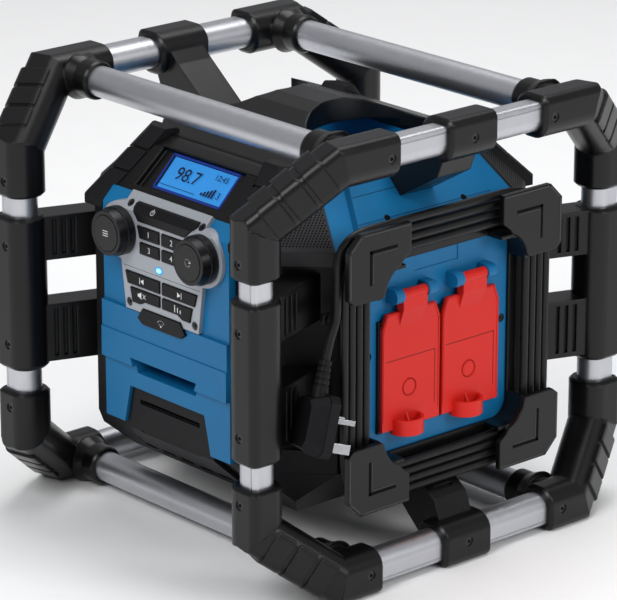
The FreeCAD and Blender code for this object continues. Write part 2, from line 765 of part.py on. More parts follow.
def bumper_region(sx, sy):
    """A strip beside a front or back slant that wraps onto the corner facet."""
    slant = FRONT_SLANT if sy < 0 else BACK_SLANT
    side = sx * (1 if sy < 0 else -1)
    low = BODY_X - (BODY_X + BODY_Y - CORNER_SUM)
    narrow = SLOPE_LENGTH * 20.0 / 72.0
    top = SLOPE_LENGTH + BUMPER_RAISE
    points = [(side * (low - BUMPER_WIDTH), -BUMPER_RAISE), (side * (low + BUMPER_WRAP), -BUMPER_RAISE),
              (side * (low + BUMPER_WRAP - narrow), top), (side * (low - BUMPER_WIDTH - narrow), top)]
    if side < 0:
        points.reverse()
    return prism(slant, points, -20.0, 40.0)


def corner_bumpers():
    """Stepped rubber rails on the four hip edges beside the display and its opposite."""
    cover = envelope(BUMPER_RAISE).cut(BODY).common(layer(SHOULDER_Z - 4, ROOF_Z + BUMPER_RAISE - 2))
    pieces = []
    for sx, sy in CORNERS:
        piece = cover.common(bumper_region(sx, sy))
        slant = FRONT_SLANT if sy < 0 else BACK_SLANT
        cuts = []
        for share in (0.36, 0.68):
            v = SLOPE_LENGTH * share
            ring = prism(slant, [(-200, v), (200, v), (200, v + 2.2), (-200, v + 2.2)], -30, 60)
            cuts.append(ring.cut(envelope(BUMPER_RAISE - BUMPER_GROOVE)))
        cuts.append(front_region(PANEL_HALF, PANEL_BOTTOM) if sy < 0 else back_region())
        if sy < 0:
            cuts.append(prism(FRONT_SLANT, bezel_points(), -1, 40))
        pieces.append(carve(piece, cuts))
    return [p.Solids[0] if len(p.Solids) == 1 else max(p.Solids, key=lambda s: s.Volume) for p in pieces]


# Front

def bass_region(grow):
    points = [(-BASS_BOTTOM_HALF - grow, BASS_BOTTOM_Z - grow),
              (BASS_BOTTOM_HALF + grow, BASS_BOTTOM_Z - grow),
              (BASS_TOP_HALF + grow, BASS_TOP_Z + grow), (-BASS_TOP_HALF - grow, BASS_TOP_Z + grow)]
    return prism(FRONT, points, -60.0, 20.0)


def front_region(half, low):
    """What the front panel may cover: up the wall and a short way onto the slant."""
    points = rect(half, low, ROOF_Z)
    wall = prism(FRONT, points, -60.0, 40.0)
    return wall.cut(half_space(FRONT_SLANT.at(0, PANEL_RUN_UP, 0), FRONT_SLANT.v))


KEYS = {
    "power_key": [(-36, 97.2), (-36, 94), (-28, 84), (30, 84), (42, 94), (42, 97.2)],
    "preset_key_1": [(-29, 80), (-26, 70), (-1.8, 70), (-1.8, 80)],
    "preset_key_2": [(1.8, 80), (1.8, 70), (26, 70), (29, 80)],
    "preset_key_3": [(-26, 66.5), (-26, 57), (-1.8, 57), (-1.8, 66.5)],
    "preset_key_4": [(1.8, 66.5), (1.8, 57), (26, 57), (26, 66.5)],
    "previous_key": [(-45, 38.5), (-42, 28.5), (-1.8, 28.5), (-1.8, 38.5)],
    "next_key": [(1.8, 38.5), (1.8, 28.5), (42, 28.5), (45, 38.5)],
    "mute_key": [(-39, 25.5), (-36, 13.5), (-27, 13.5), (-21, 16.5), (-1.8, 16.5), (-1.8, 25.5)],
    "tone_key": [(1.8, 25.5), (1.8, 16.5), (21, 16.5), (27, 13.5), (36, 13.5), (39, 25.5)],
    "pairing_key": [(-24, 10), (-30, 1), (-24, -3), (24, -3), (30, 1), (24, 10)],
}


def front_panel():
    """Blue front skin with a raised band, a port duct and room behind the keys."""
    shape = skin(PANEL_THICK, front_region(PANEL_HALF, PANEL_BOTTOM))
    band_low = prism(FRONT, rect(PANEL_HALF, BAND_BOTTOM, BAND_STEP_Z), 0, PANEL_THICK + BAND_RAISE)
    band_high = prism(FRONT, rect(PANEL_HALF, BAND_STEP_Z, BAND_TOP), 0,
                      PANEL_THICK + BAND_RAISE - BAND_STEP)
    duct = rect(PORT_HALF + PORT_WALL, PORT_BOTTOM - PORT_WALL, PORT_TOP + PORT_WALL)
    shape = join([shape, band_low, band_high, prism(FRONT, duct, -PORT_LENGTH, PANEL_THICK)])
    port = [(-PORT_HALF + 5, PORT_BOTTOM), (PORT_HALF - 5, PORT_BOTTOM), (PORT_HALF, PORT_TOP),
            (-PORT_HALF, PORT_TOP)]
    tools = [prism(FRONT, port, -PORT_LENGTH - 1, PLATE_LEVEL + 1), bass_region(SEAT_GAP)]
    for points in KEYS.values():
        tools.append(grown_prism(FRONT, points, KEY_ROOM, -1 - TUBE_HALF, PANEL_THICK))
        tools.append(grown_prism(FRONT, points, KEY_GAP, 0, PLATE_LEVEL + 1))
    for side in (-1, 1):
        hub = FRONT.at(side * KNOB_X, KNOB_Z)
        tools.append(rod(hub, hub + FRONT.n * PLATE_LEVEL, KNOB_SHAFT_R + 5))
    shape = carve(shape, tools)
    solid = max(shape.Solids, key=lambda s: s.Volume)
    return drilled(solid, panel_screw_sites())


def plate_outline():
    upper = prism(FRONT, rect(PLATE_HALF, PLATE_WAIST_Z, ROOF_Z), -40, 40)
    lower = prism(FRONT, [(-PLATE_HALF - 2, PLATE_WAIST_Z), (-PLATE_LOW_HALF, PLATE_LOW_Z),
                          (PLATE_LOW_HALF, PLATE_LOW_Z), (PLATE_HALF + 2, PLATE_WAIST_Z)], -40, 40)
    rings = []
    for side in (-1, 1):
        rings.append(rod(FRONT.at(side * KNOB_X, KNOB_Z, -40), FRONT.at(side * KNOB_X, KNOB_Z, 40),
                         KNOB_RING_R))
    return join([upper, lower] + rings)


def keypad_plate():
    outline = plate_outline().common(front_region(PANEL_HALF - 1, BAND_TOP + SEAT_GAP / 3))
    plate = outline.common(envelope(PLATE_LEVEL)).cut(envelope(PANEL_THICK))
    tools = [grown_prism(FRONT, points, KEY_GAP, -TUBE_HALF, PLATE_LEVEL + 1) for points in KEYS.values()]
    for side in (-1, 1):
        hub = FRONT.at(side * KNOB_X, KNOB_Z)
        tools.append(rod(hub, hub + FRONT.n * (PLATE_LEVEL + 1), KNOB_SHAFT_R + 2))
    plate = carve(plate, tools)
    return drilled(max(plate.Solids, key=lambda s: s.Volume), panel_screw_sites())


def key(name):
    """A cap through the plate with a flange that keeps it from falling out."""
    points = KEYS[name]
    cap_low = PANEL_THICK - SEAT_GAP - KEY_FLANGE_THICK
    if name == "power_key":
        cap = prism(FRONT, points, -TUBE_HALF, PLATE_LEVEL + KEY_PROUD)
        return cap.common(envelope(PLATE_LEVEL + KEY_PROUD)).cut(envelope(PANEL_THICK - 3 * KEY_TRAVEL))
    cap = prism(FRONT, points, cap_low, PLATE_LEVEL + KEY_PROUD)
    flange = grown_prism(FRONT, points, KEY_FLANGE, cap_low, cap_low + KEY_FLANGE_THICK)
    return cap.fuse(flange).removeSplitter()


def knob(side):
    """A skirted knob whose shaft runs in the encoder behind the panel."""
    hub = FRONT.at(side * KNOB_X, KNOB_Z, PLATE_LEVEL + SEAT_GAP)
    out = FRONT.n
    skirt = rod(hub, hub + out * (KNOB_HEIGHT * 0.45), KNOB_R)
    body = taper(hub + out * (KNOB_HEIGHT * 0.45), hub + out * KNOB_HEIGHT, KNOB_R - 1, KNOB_FACE_R)
    shaft = rod(hub - out * (PLATE_LEVEL + SEAT_GAP - BOARD_SINK), hub, KNOB_SHAFT_R)
    well = rod(hub + out * (KNOB_HEIGHT - BUTTON_DEPTH - BUTTON_TRAVEL - 1), hub + out * (KNOB_HEIGHT + 1),
               BUTTON_R + BUTTON_CLEARANCE)
    return join([skirt, body, shaft]).cut(well)


def knob_button(side):
    hub = FRONT.at(side * KNOB_X, KNOB_Z, PLATE_LEVEL + SEAT_GAP)
    out = FRONT.n
    face = hub + out * (KNOB_HEIGHT + 0.4)
    return rod(face - out * BUTTON_DEPTH, face, BUTTON_R)


def control_board():
    """Circuit board under the keypad with a dome per key and an encoder per knob."""
    board = prism(FRONT, rect(PLATE_HALF + 20, -10.0, SHOULDER_Z - 4), -BOARD_THICK - WALL, -WALL)
    parts = [board]
    for name, points in KEYS.items():
        if name == "power_key":
            continue
        x = sum(p[0] for p in points) / len(points)
        z = sum(p[1] for p in points) / len(points)
        top = PANEL_THICK - SEAT_GAP - KEY_FLANGE_THICK - KEY_TRAVEL - SEAT_GAP
        parts.append(rod(FRONT.at(x, z, -WALL), FRONT.at(x, z, top), 2.5))
    for side in (-1, 1):
        middle = FRONT.at(side * KNOB_X, KNOB_Z, -WALL)
        top = FRONT.at(side * KNOB_X, KNOB_Z, PANEL_THICK - 1)
        parts.append(rod(middle, top, ENCODER_R))
    shape = join(parts)
    holes = []
    for side in (-1, 1):
        middle = FRONT.at(side * KNOB_X, KNOB_Z, -WALL)
        top = FRONT.at(side * KNOB_X, KNOB_Z, PANEL_THICK)
        holes.append(rod(middle, top, KNOB_SHAFT_R + SHAFT_CLEARANCE))
    return carve(shape, holes)


def slant_half(v):
    """Half width of the display surround at a height up the slope."""
    return PANEL_HALF - SLOPE_LENGTH * 20.0 / 72.0 * v / SLOPE_LENGTH


def bezel_points():
    low, high = PANEL_RUN_UP, BEZEL_END
    return [(-slant_half(low), low), (slant_half(low), low), (slant_half(high), high),
            (-slant_half(high), high)]


def display_bezel():
    shape = prism(FRONT_SLANT, bezel_points(), 0, BEZEL_RAISE)
    well_half = LCD_HALF_W + 12
    well = [(-well_half - 4, LCD_LOW - 6), (well_half + 4, LCD_LOW - 6), (well_half, BEZEL_END + 1),
            (-well_half, BEZEL_END + 1)]
    shape = shape.cut(prism(FRONT_SLANT, well, LCD_LEVEL + 0.2, BEZEL_RAISE + 1))
    hole = rect(LCD_HALF_W + 0.4, LCD_LOW - 0.4, LCD_HIGH + 0.4)
    return shape.cut(prism(FRONT_SLANT, hole, -1, BEZEL_RAISE))


def display_window():
    return prism(FRONT_SLANT, rect(LCD_HALF_W, LCD_LOW, LCD_HIGH), LCD_LEVEL - WINDOW_THICK, LCD_LEVEL)


def display_module():
    """Backlit display behind the window, on its own board inside the roof."""
    glass = rect(LCD_HALF_W + 2, LCD_LOW - 2, LCD_HIGH)
    board = rect(LCD_HALF_W + 8, LCD_LOW - 8, LCD_HIGH + 4)
    top = LCD_LEVEL - WINDOW_THICK
    panel = prism(FRONT_SLANT, rect(LCD_HALF_W, LCD_LOW, LCD_HIGH), -WALL, top)
    frame = prism(FRONT_SLANT, glass, -WALL - 4, -0.2)
    return join([panel, frame, prism(FRONT_SLANT, board, -WALL - 6, -WALL - SEAT_GAP)])


def bass_cover():
    shape = bass_region(0.0).common(envelope(BASS_THICK)).cut(BODY)
    cuts = []
    for z in BASS_SLOTS:
        cuts.append(prism(FRONT, rect(BASS_SLOT_HALF, z - BASS_SLOT_H / 2, z + BASS_SLOT_H / 2),
                          BASS_THICK - 2.5, 20))
    through = rect(BASS_SLOT_HALF - 2, BASS_SLOTS[0] - 1.2, BASS_SLOTS[0] + 1.2)
    cuts.append(prism(FRONT, through, -1, 20))
    return carve(shape, cuts)


def woofer():
    """Down-firing bass driver: flange, open cone basket and magnet."""
    floor = BELLY_Z + WALL
    top = floor + WOOFER_HEIGHT
    outline = [(0, floor + 26), (14, floor + 30), (WOOFER_R - 12, floor + 3), (WOOFER_R - 10, floor),
               (WOOFER_R, floor),
               (WOOFER_R, floor + 4), (WOOFER_R - 8, floor + 6), (30, floor + 34), (40, floor + 34),
               (40, top), (0, top)]
    face = polygon([V(r, WOOFER_Y, z) for r, z in outline])
    return face.revolve(V(0, WOOFER_Y, 0), V(0, 0, 1), 360)


def corner_grille(sx, sy):
    """A perforated cover on a leaning corner facet that ends in a band on the upright face."""
    frame = corner_slant_frame(sx, sy)
    wide = math.hypot(BODY_X - (CORNER_SUM - BODY_Y), BODY_Y - (CORNER_SUM - BODY_X)) / 2
    narrow = wide - SLOPE_LENGTH * math.tan(math.radians(14.6))
    toward = 1 if sx * sy > 0 else -1
    points = []
    for half, v in ((wide, -20), (wide, 0), (narrow, SLOPE_LENGTH - 2)):
        points.append((toward * (half - BUMPER_WRAP - 3), v))
    for half, v in ((narrow, SLOPE_LENGTH - 2), (wide, 0), (wide, -20)):
        points.append((-toward * (half - 2), v))
    region = prism(frame, points, -30, 30)
    upright = layer(POCKET_TOP + 3, ROOF_Z)
    return region.common(upright).common(envelope(GRILLE_THICK)).cut(BODY).cut(bumper_region(sx, sy))


def corner_speaker(sx, sy):
    """Full-range driver behind a corner facet."""
    frame = corner_slant_frame(sx, sy)
    v = SLOPE_LENGTH * 0.4
    back = -WALL
    parts = [rod(frame.at(0, v, back - 3), frame.at(0, v, back), SPEAKER_R),
             taper(frame.at(0, v, back - 20), frame.at(0, v, back - 3), 14, SPEAKER_R - 4),
             rod(frame.at(0, v, back - 32), frame.at(0, v, back - 20), 18)]
    shape = join(parts)
    return shape.cut(taper(frame.at(0, v, back - 14), frame.at(0, v, back + 1), 8, SPEAKER_R - 5))


# Roof and handle

def carry_handle():
    """One arch from front to back over the hand bowl, hollowed on both sides of its grip."""
    outer = [(COVER_ROOT_Y, COVER_ROOT_Z), (95.0, 138.5), (62.0, 150.0), (30.0, 163.5),
             (CREST_HALF, CREST_Z)]
    inner = [(COVER_ROOT_Y - 5, COVER_ROOT_Z - 5), (BODY_Y + SHOULDER_Z - ROOF_Z, ROOF_Z)]
    profile = outer + [(-y, z) for y, z in reversed(outer)] + [(-y, z) for y,
                                                               z in inner] + list(reversed(inner))
    start = V(-TOOL_REACH / 2, 0, 0)
    arch = polygon([start + V(0, y, z) for y, z in profile]).extrude(V(TOOL_REACH, 0, 0))
    side = BODY_X + SHOULDER_Z - ROOF_Z - 1.5
    low = slant_half(BEZEL_END) - 1
    plan = [(low, -COVER_ROOT_Y - 1), (side, -78), (side, 78), (low, COVER_ROOT_Y + 1)]
    plan += [(-x, y) for x, y in reversed(plan)]
    tower = polygon([V(x, y, 0) for x, y in plan]).extrude(V(0, 0, TOOL_REACH))
    shape = arch.common(tower).cut(BODY)
    tools = []
    for sx in (-1, 1):
        middle = V(sx * (GRIP_HALF + HOLLOW_R), 0, 0)
        tools.append(rod(middle, middle + V(0, 0, TOOL_REACH), HOLLOW_R))
    tools.append(box(-TOOL_REACH, TOOL_REACH, -BOWL_HALF_Y, BOWL_HALF_Y, 0, ROOF_Z + 4))
    tools.append(box(-GRIP_HALF * 2, GRIP_HALF * 2, -BOWL_HALF_Y + 4, BOWL_HALF_Y - 4, 0, GRIP_UNDER_Z))
    tools += [bumper_room(sx, sy) for sx, sy in CORNERS]
    shape = carve(shape, tools)
    shape = max(shape.Solids, key=lambda s: s.Volume)
    return drilled(shape, panel_screw_sites())


def bumper_room(sx, sy):
    return bumper_region(sx, sy).common(envelope(BUMPER_RAISE + 0.5))


# Right side

def side_region(frame, half, top_half, bottom, top):
    points = [(-half, bottom), (half, bottom), (half, SHOULDER_Z), (top_half, top), (-top_half, top),
              (-half, SHOULDER_Z)]
    return prism(frame, points, -60.0, 30.0)


def back_region():
    top = SHOULDER_Z + BEZEL_END / ROOT2
    return side_region(BACK, PANEL_HALF, OUTLET_TOP_HALF, OUTLET_BOTTOM, top)


def module_block(side, grow, depth):
    """The body of an outlet behind its flange."""
    half = MODULE_HALF + grow
    points = [(side * COVER_Y - half, MODULE_Z - half), (side * COVER_Y + half, MODULE_Z - half),
              (side * COVER_Y + half, MODULE_Z + half), (side * COVER_Y - half, MODULE_Z + half)]
    return prism(RIGHT, points, -depth, OUTLET_THICK)


def outlet_panel():
    shape = skin(OUTLET_THICK, side_region(RIGHT, OUTLET_HALF, OUTLET_TOP_HALF, OUTLET_BOTTOM,
                                           OUTLET_TOP_Z))
    lugs = []
    holes = []
    for side in (-1, 1):
        for end in (-1, 1):
            near = side * COVER_Y + end * (BARREL_HALF + SEAT_GAP)
            far = near + end * LUG_WIDTH
            y0, y1 = min(near, far), max(near, far)
            lugs.append(box(BODY_X + 1, HINGE_X, y0, y1, HINGE_Z - LUG_R, HINGE_Z + LUG_R))
            lugs.append(rod(V(HINGE_X, y0, HINGE_Z), V(HINGE_X, y1, HINGE_Z), LUG_R))
            tip = near + end * (HINGE_PIN_LENGTH + SEAT_GAP)
            holes.append(rod(V(HINGE_X, near - end, HINGE_Z), V(HINGE_X, tip, HINGE_Z),
                             HINGE_PIN_R + SHAFT_CLEARANCE))
        holes.append(module_block(side, SEAT_GAP, 1))
    label = rect(24, 56, 73)
    holes.append(prism(RIGHT, label, OUTLET_THICK - 0.8, OUTLET_THICK + 1))
    shape = carve(join([shape] + lugs), holes)
    return drilled(shape, panel_screw_sites())


def socket_module(side):
    """Outlet block with a black flange and three contact holes."""
    flange_low = COVER_BOTTOM - 2
    flange_top = COVER_TOP - 6
    points = [(side * COVER_Y - FLANGE_HALF + 0.2, flange_low),
              (side * COVER_Y + FLANGE_HALF - 0.2, flange_low),
              (side * COVER_Y + FLANGE_HALF - 0.2, flange_top), (side * COVER_Y - FLANGE_HALF + 0.2,
                                                                 flange_top)]
    flange = prism(RIGHT, points, OUTLET_THICK, OUTLET_THICK + FLANGE_THICK)
    shape = flange.fuse(module_block(side, 0.0, MODULE_DEPTH)).removeSplitter()
    holes = []
    reach = OUTLET_THICK + FLANGE_THICK + 1
    for y, z, w, h in ((0, 8, 3.8, 8.2), (-PIN_SPACING / 2, -14, 6.6, 3.8),
                       (PIN_SPACING / 2, -14, 6.6, 3.8)):
        y0 = side * COVER_Y + y
        z0 = MODULE_Z + z + 4
        points = [(y0 - w / 2, z0 - h / 2), (y0 + w / 2, z0 - h / 2), (y0 + w / 2, z0 + h / 2),
                  (y0 - w / 2, z0 + h / 2)]
        holes.append(prism(RIGHT, points, -18, reach))
    return carve(shape, holes)


def socket_cover(side):
    """Hinged flap: chamfered plate, raised neck, barrel with stub pins, finger loop."""
    y = side * COVER_Y
    low = OUTLET_THICK + FLANGE_THICK + COVER_SEAT
    high = low + COVER_THICK
    c = COVER_CHAMFER
    points = [(y - COVER_HALF, COVER_BOTTOM), (y + COVER_HALF, COVER_BOTTOM),
              (y + COVER_HALF, COVER_TOP - c * 1.6),
              (y + COVER_HALF - c * 0.6, COVER_TOP), (y - COVER_HALF + c * 0.6,
                                                      COVER_TOP), (y - COVER_HALF, COVER_TOP - c * 1.6)]
    plate = prism(RIGHT, points, low, high)
    neck = [(BODY_X + low, 16.0), (BODY_X + high, 16.0), (HINGE_X + 3.5, COVER_TOP + 2),
            (HINGE_X + 3.5, HINGE_Z),
            (HINGE_X - 3.5, HINGE_Z), (BODY_X + low, COVER_TOP + 4)]
    start = V(0, y - BARREL_HALF, 0)
    neck = polygon([start + V(a, 0, b) for a, b in neck]).extrude(V(0, 2 * BARREL_HALF, 0))
    axis_low = V(HINGE_X, y - BARREL_HALF, HINGE_Z)
    axis_high = V(HINGE_X, y + BARREL_HALF, HINGE_Z)
    pin = V(0, HINGE_PIN_LENGTH, 0)
    parts = [plate, neck, rod(axis_low, axis_high, BARREL_R),
             rod(axis_low - pin, axis_high + pin, HINGE_PIN_R)]
    parts += finger_loop(y - 5.0, high)
    return join(parts)


def finger_loop(y, high):
    """A half ring below the flap with a small rib to push against."""
    x = BODY_X + high - 1.0
    low = V(x, y, COVER_BOTTOM - 4)
    top = low + V(0, 0, TAB_HEIGHT)
    ring = rod(low, top, TAB_R).cut(rod(low - V(0, 0, 1), top + V(0, 0, 1), TAB_R - TAB_WALL))
    ring = ring.common(box(x, x + TAB_R + 1, y - TAB_R - 1, y + TAB_R + 1, COVER_BOTTOM - 5, TOOL_REACH))
    foot = box(x - COVER_THICK + 1, x + 1, y - TAB_R, y + TAB_R, COVER_BOTTOM - 4, COVER_BOTTOM + 1)
    rib = polygon([V(x, y - 1, COVER_BOTTOM + 14), V(x, y - 1, COVER_BOTTOM),
                   V(x + 8, y - 1, COVER_BOTTOM)])
    return [ring, foot, rib.extrude(V(0, 2, 0))]


# Cord holder, winding, tail and plug

def rounded_ring(grow, x0, x1):
    """A rounded rectangle round the outlets, grown from the drum's outer wall."""
    half = DRUM_HALF + grow
    top = DRUM_TOP + grow
    bottom = DRUM_BOTTOM - grow
    block = box(x0, x1, -half, half, bottom, top)
    edges = [e for e in block.Edges if abs(e.tangentAt(e.FirstParameter).x) > 0.9]
    return block.makeFillet(DRUM_CORNER_R + grow, edges)


def flap(sy, top):
    """One corner plate that keeps the turns of cord on the drum."""
    edge = FLAP_TOP if top else FLAP_BOTTOM
    sign = 1 if top else -1
    c = FLAP_CHAMFER
    out = FLAP_OUT
    inner = edge - sign * FLAP_REACH
    points = [(FLAP_IN, edge), (out - c, edge), (out, edge - sign * c), (out, inner + sign * 5),
              (out - 6, inner),
              (DRUM_HALF - 2, inner), (FLAP_IN + 8, edge - sign * 30), (FLAP_IN, edge - sign * 24)]
    points = [(sy * y, z) for y, z in points]
    plate = polygon([V(FLAP_X, y, z) for y, z in points]).extrude(V(FLAP_THICK, 0, 0))
    scoop_y = sy * (DRUM_HALF - FLAP_SCOOP_R - 4)
    scoop_z = edge - sign * (FLAP_REACH + 1)
    start = V(FLAP_X - 1, scoop_y, scoop_z)
    return plate.cut(rod(start, start + V(FLAP_THICK + 2, 0, 0), FLAP_SCOOP_R))


def cord_holder():
    """Foot ring, four drum corners and four flaps in one moulding, with the gland and the clip."""
    foot = rounded_ring(6.0, BODY_X, BODY_X + OUTLET_THICK + 3).cut(rounded_ring(-DRUM_WALL, 0, TOOL_REACH))
    drum = rounded_ring(0.0, BODY_X, FLAP_X + 1).cut(rounded_ring(-DRUM_WALL, 0, TOOL_REACH))
    corners = []
    for sy in (-1, 1):
        for low, high in ((DRUM_TOP - 24, FLAP_TOP), (FLAP_BOTTOM, DRUM_BOTTOM + 24)):
            y0, y1 = sorted((sy * (FLAP_IN + 2), sy * FLAP_OUT))
            corners.append(drum.common(box(0, TOOL_REACH, y0, y1, low, high)))
    flaps = [flap(sy, top) for sy in (-1, 1) for top in (True, False)]
    first_lane = DRUM_HALF + CORD_LIFT + CORD_D / 2
    gland = box(BODY_X, CORD_X + CORD_D / 2, -first_lane - CORD_D / 2, -DRUM_HALF + 1, GLAND_Z,
                GLAND_Z + GLAND_LENGTH)
    clip = box(BODY_X + OUTLET_THICK, BODY_X + OUTLET_THICK + 4, -FLAP_OUT - 8, -DRUM_HALF, 34, 42)
    shape = join([foot] + corners + flaps + [gland, clip])
    shape = shape.cut(skin(OUTLET_THICK, side_region(RIGHT, OUTLET_HALF, OUTLET_TOP_HALF, OUTLET_BOTTOM,
                                                     OUTLET_TOP_Z)))
    shape = shape.cut(BODY)
    return max(shape.Solids, key=lambda s: s.Volume)


def lane(quarter):
    """How far a run of cord lies from the drum's wall, growing by a quarter pitch each side."""
    return CORD_LIFT + CORD_D / 2 + CORD_PITCH * quarter / 4.0


def lane_line(quarter):
    """The straight line that a run lies on: left, bottom, right and top in turn."""
    side = quarter % 4
    off = lane(quarter)
    if side == 0:
        return "y", -DRUM_HALF - off
    if side == 1:
        return "z", DRUM_BOTTOM - off
    if side == 2:
        return "y", DRUM_HALF + off
    return "z", DRUM_TOP + off


def winding_path():
    """Straight runs and quarter arcs of the whole winding, from the gland to the tail."""
    turn_signs = {0: (-1, -1), 1: (1, -1), 2: (1, 1), 3: (-1, 1)}
    quarters = 4 * CORD_TURNS
    here = V(CORD_X, lane_line(0)[1], GLAND_Z)
    edges = []
    radii = []
    for quarter in range(quarters):
        next_line = lane_line(quarter + 1)[1]
        this_line = lane_line(quarter)[1]
        sy, sz = turn_signs[quarter % 4]
        radius = DRUM_CORNER_R + (lane(quarter) + lane(quarter + 1)) / 2
        if quarter == quarters - 1:
            radius = CORD_LEAVE_R
        if quarter % 2 == 0:
            y_line, z_line = this_line, next_line
        else:
            y_line, z_line = next_line, this_line
        centre = V(CORD_X, y_line - sy * radius, z_line - sz * radius)
        on_y = centre + V(0, sy * radius, 0)
        on_z = centre + V(0, 0, sz * radius)
        middle = centre + V(0, sy, sz).normalize() * radius
        first, last = (on_y, on_z) if quarter % 2 == 0 else (on_z, on_y)
        edges.append(Part.LineSegment(here, first).toShape())
        edges.append(Part.Arc(first, middle, last).toShape())
        radii.append(radius)
        here = last
    return edges, radii, here


def sweep(edges, radius):
    """A round tube along a chain of tangent runs and arcs."""
    path = Part.Wire(edges)
    start = edges[0].firstVertex().Point
    direction = edges[0].tangentAt(edges[0].FirstParameter)
    ring = Part.Wire(Part.makeCircle(radius, start, direction))
    return path.makePipeShell([ring], True, False)


def route_edges(points):
    """Join a route of hand-chosen points with straight runs and tangent arcs."""
    edges = []
    radii = []
    here = points[0]
    for index in range(1, len(points) - 1):
        before = points[index] - points[index - 1]
        after = points[index + 1] - points[index]
        turn = before.getAngle(after)
        shorter = min(before.Length, after.Length)
        radius = 0.45 * shorter / math.tan(turn / 2)
        cut = radius * math.tan(turn / 2)
        a = before.normalize()
        b = after.normalize()
        start = points[index] - a * cut
        end = points[index] + b * cut
        inward = (b - a).normalize()
        middle = points[index] + inward * (radius / math.cos(turn / 2) - radius)
        edges.append(Part.LineSegment(here, start).toShape())
        edges.append(Part.Arc(start, middle, end).toShape())
        radii.append(radius)
        here = end
    edges.append(Part.LineSegment(here, points[-1]).toShape())
    return edges, radii


def plug_axes():
    pins = V(*PLUG_PINS_TO).normalize()
    up = (V(0, 0, 1) - pins * pins.z).normalize()
    side = pins.cross(up)
    lean = math.radians(PLUG_LEAN_DEG)
    up, side = up * math.cos(lean) - side * math.sin(lean), side * math.cos(lean) + up * math.sin(lean)
    return pins, up, side


def plug_boot_tip():
    up = plug_axes()[1]
    return V(*PLUG_MIDDLE) + up * (PLUG_HEIGHT / 2 + BOOT_LENGTH)


def tail_route(start):
    tip = plug_boot_tip()
    up = plug_axes()[1]
    return [start, V(163.0, -117.1, 54.0), V(163.2, -117.8, 38.0), tip + up * 15.0, tip]


def plug_block(pins, up, side, width, height, low, high, shrink):
    """A tapered block between two heights along the pins."""
    middle = V(*PLUG_MIDDLE)
    wires = []
    for level, less in ((low, shrink), (high, 0.0)):
        half_w = width / 2 - less
        half_h = height / 2 - less
        bevel = 6.0
        outline = [(-half_w, -half_h + bevel), (-half_w + bevel, -half_h), (half_w - bevel, -half_h),
                   (half_w, -half_h + bevel),
                   (half_w, half_h - bevel), (half_w - bevel, half_h), (-half_w + bevel, half_h),
                   (-half_w, half_h - bevel)]
        wires.append(Part.makePolygon([middle + side * a + up * b + pins * level for a,
                                       b in outline + outline[:1]]))
    return Part.makeLoft(wires, True, True)


def plug():
    pins, up, side = plug_axes()
    face = PLUG_THICK / 2
    base = plug_block(pins, up, side, PLUG_WIDTH, PLUG_HEIGHT, face - PLUG_BASE, face, 0.0)
    back = plug_block(pins, up, side, PLUG_WIDTH - 2, PLUG_HEIGHT - 2, -face, face - PLUG_BASE, 5.0)
    tip = plug_boot_tip()
    root = tip - up * (BOOT_LENGTH + 4)
    boot = taper(root, tip, BOOT_WIDE_R, BOOT_THIN_R)
    rings = []
    for index in range(4):
        start = tip - up * (4 + index * 5)
        ring = rod(start, start - up * 1.6, BOOT_WIDE_R + 2).cut(rod(start + up, start - up * 3,
                                                                     BOOT_THIN_R - 0.4 + index * 0.35))
        rings.append(ring)
    return join([base, back, carve(boot, rings)])


def plug_pins():
    pins, up, side = plug_axes()
    face = V(*PLUG_MIDDLE) + pins * (PLUG_THICK / 2) - up * PIN_DROP
    solids = []
    for across, rise, size in ((-PIN_SPACING / 2, PIN_SPACING / 2, LINE_PIN),
                               (PIN_SPACING / 2, PIN_SPACING / 2, LINE_PIN),
                               (0.0, -PIN_SPACING / 2, EARTH_PIN)):
        width, height, length = size
        start = face + side * (across - width / 2) + up * (rise - height / 2)
        outline = [start, start + side * width, start + side * width + up * height, start + up * height]
        solids.append(polygon(outline).extrude(pins * length))
    return solids


# Left and back

def tub(frame, half, low, high, depth, thick):
    outer = prism(frame, rect(half + TUB_WALL, low - TUB_WALL, high + TUB_WALL), -depth - TUB_WALL, thick)
    return outer


def battery_panel():
    """Blue left skin with the deep bay that takes the battery pack."""
    shape = skin(OUTLET_THICK, side_region(LEFT, OUTLET_HALF, OUTLET_TOP_HALF, OUTLET_BOTTOM, OUTLET_TOP_Z))
    shape = shape.fuse(tub(LEFT, BAY_HALF, BAY_BOTTOM, BAY_TOP, BAY_DEPTH, OUTLET_THICK))
    shape = shape.cut(prism(LEFT, rect(BAY_HALF, BAY_BOTTOM, BAY_TOP), -BAY_DEPTH, OUTLET_THICK + 1))
    return drilled(shape.removeSplitter(), panel_screw_sites())


def battery_pack():
    gap = PACK_GAP
    body = prism(LEFT, rect(BAY_HALF - gap, BAY_BOTTOM + gap, BAY_TOP - gap), -BAY_DEPTH + gap,
                 OUTLET_THICK + PACK_PROUD)
    edges = [e for e in body.Edges if e.BoundBox.XLength < 1 and e.BoundBox.Center.x < -BODY_X]
    body = body.makeChamfer(3.0, edges)
    grips = []
    for side in (-1, 1):
        for index in range(5):
            z = -50.0 + index * 9.0
            y0, y1 = sorted((side * (BAY_HALF - 16), side * (BAY_HALF - 6)))
            grips.append(box(-BODY_X - OUTLET_THICK - PACK_PROUD - 1,
                             -BODY_X - OUTLET_THICK - PACK_PROUD + 1.5, y0, y1, z, z + 3))
    pocket_room = prism(LEFT, rect(LATCH_HALF + PACK_GAP, LATCH_Z - LATCH_HEIGHT - PACK_GAP,
                                   LATCH_Z + PACK_GAP),
                        OUTLET_THICK + PACK_PROUD - LATCH_DEPTH, TOOL_REACH)
    return carve(body, grips + [pocket_room])


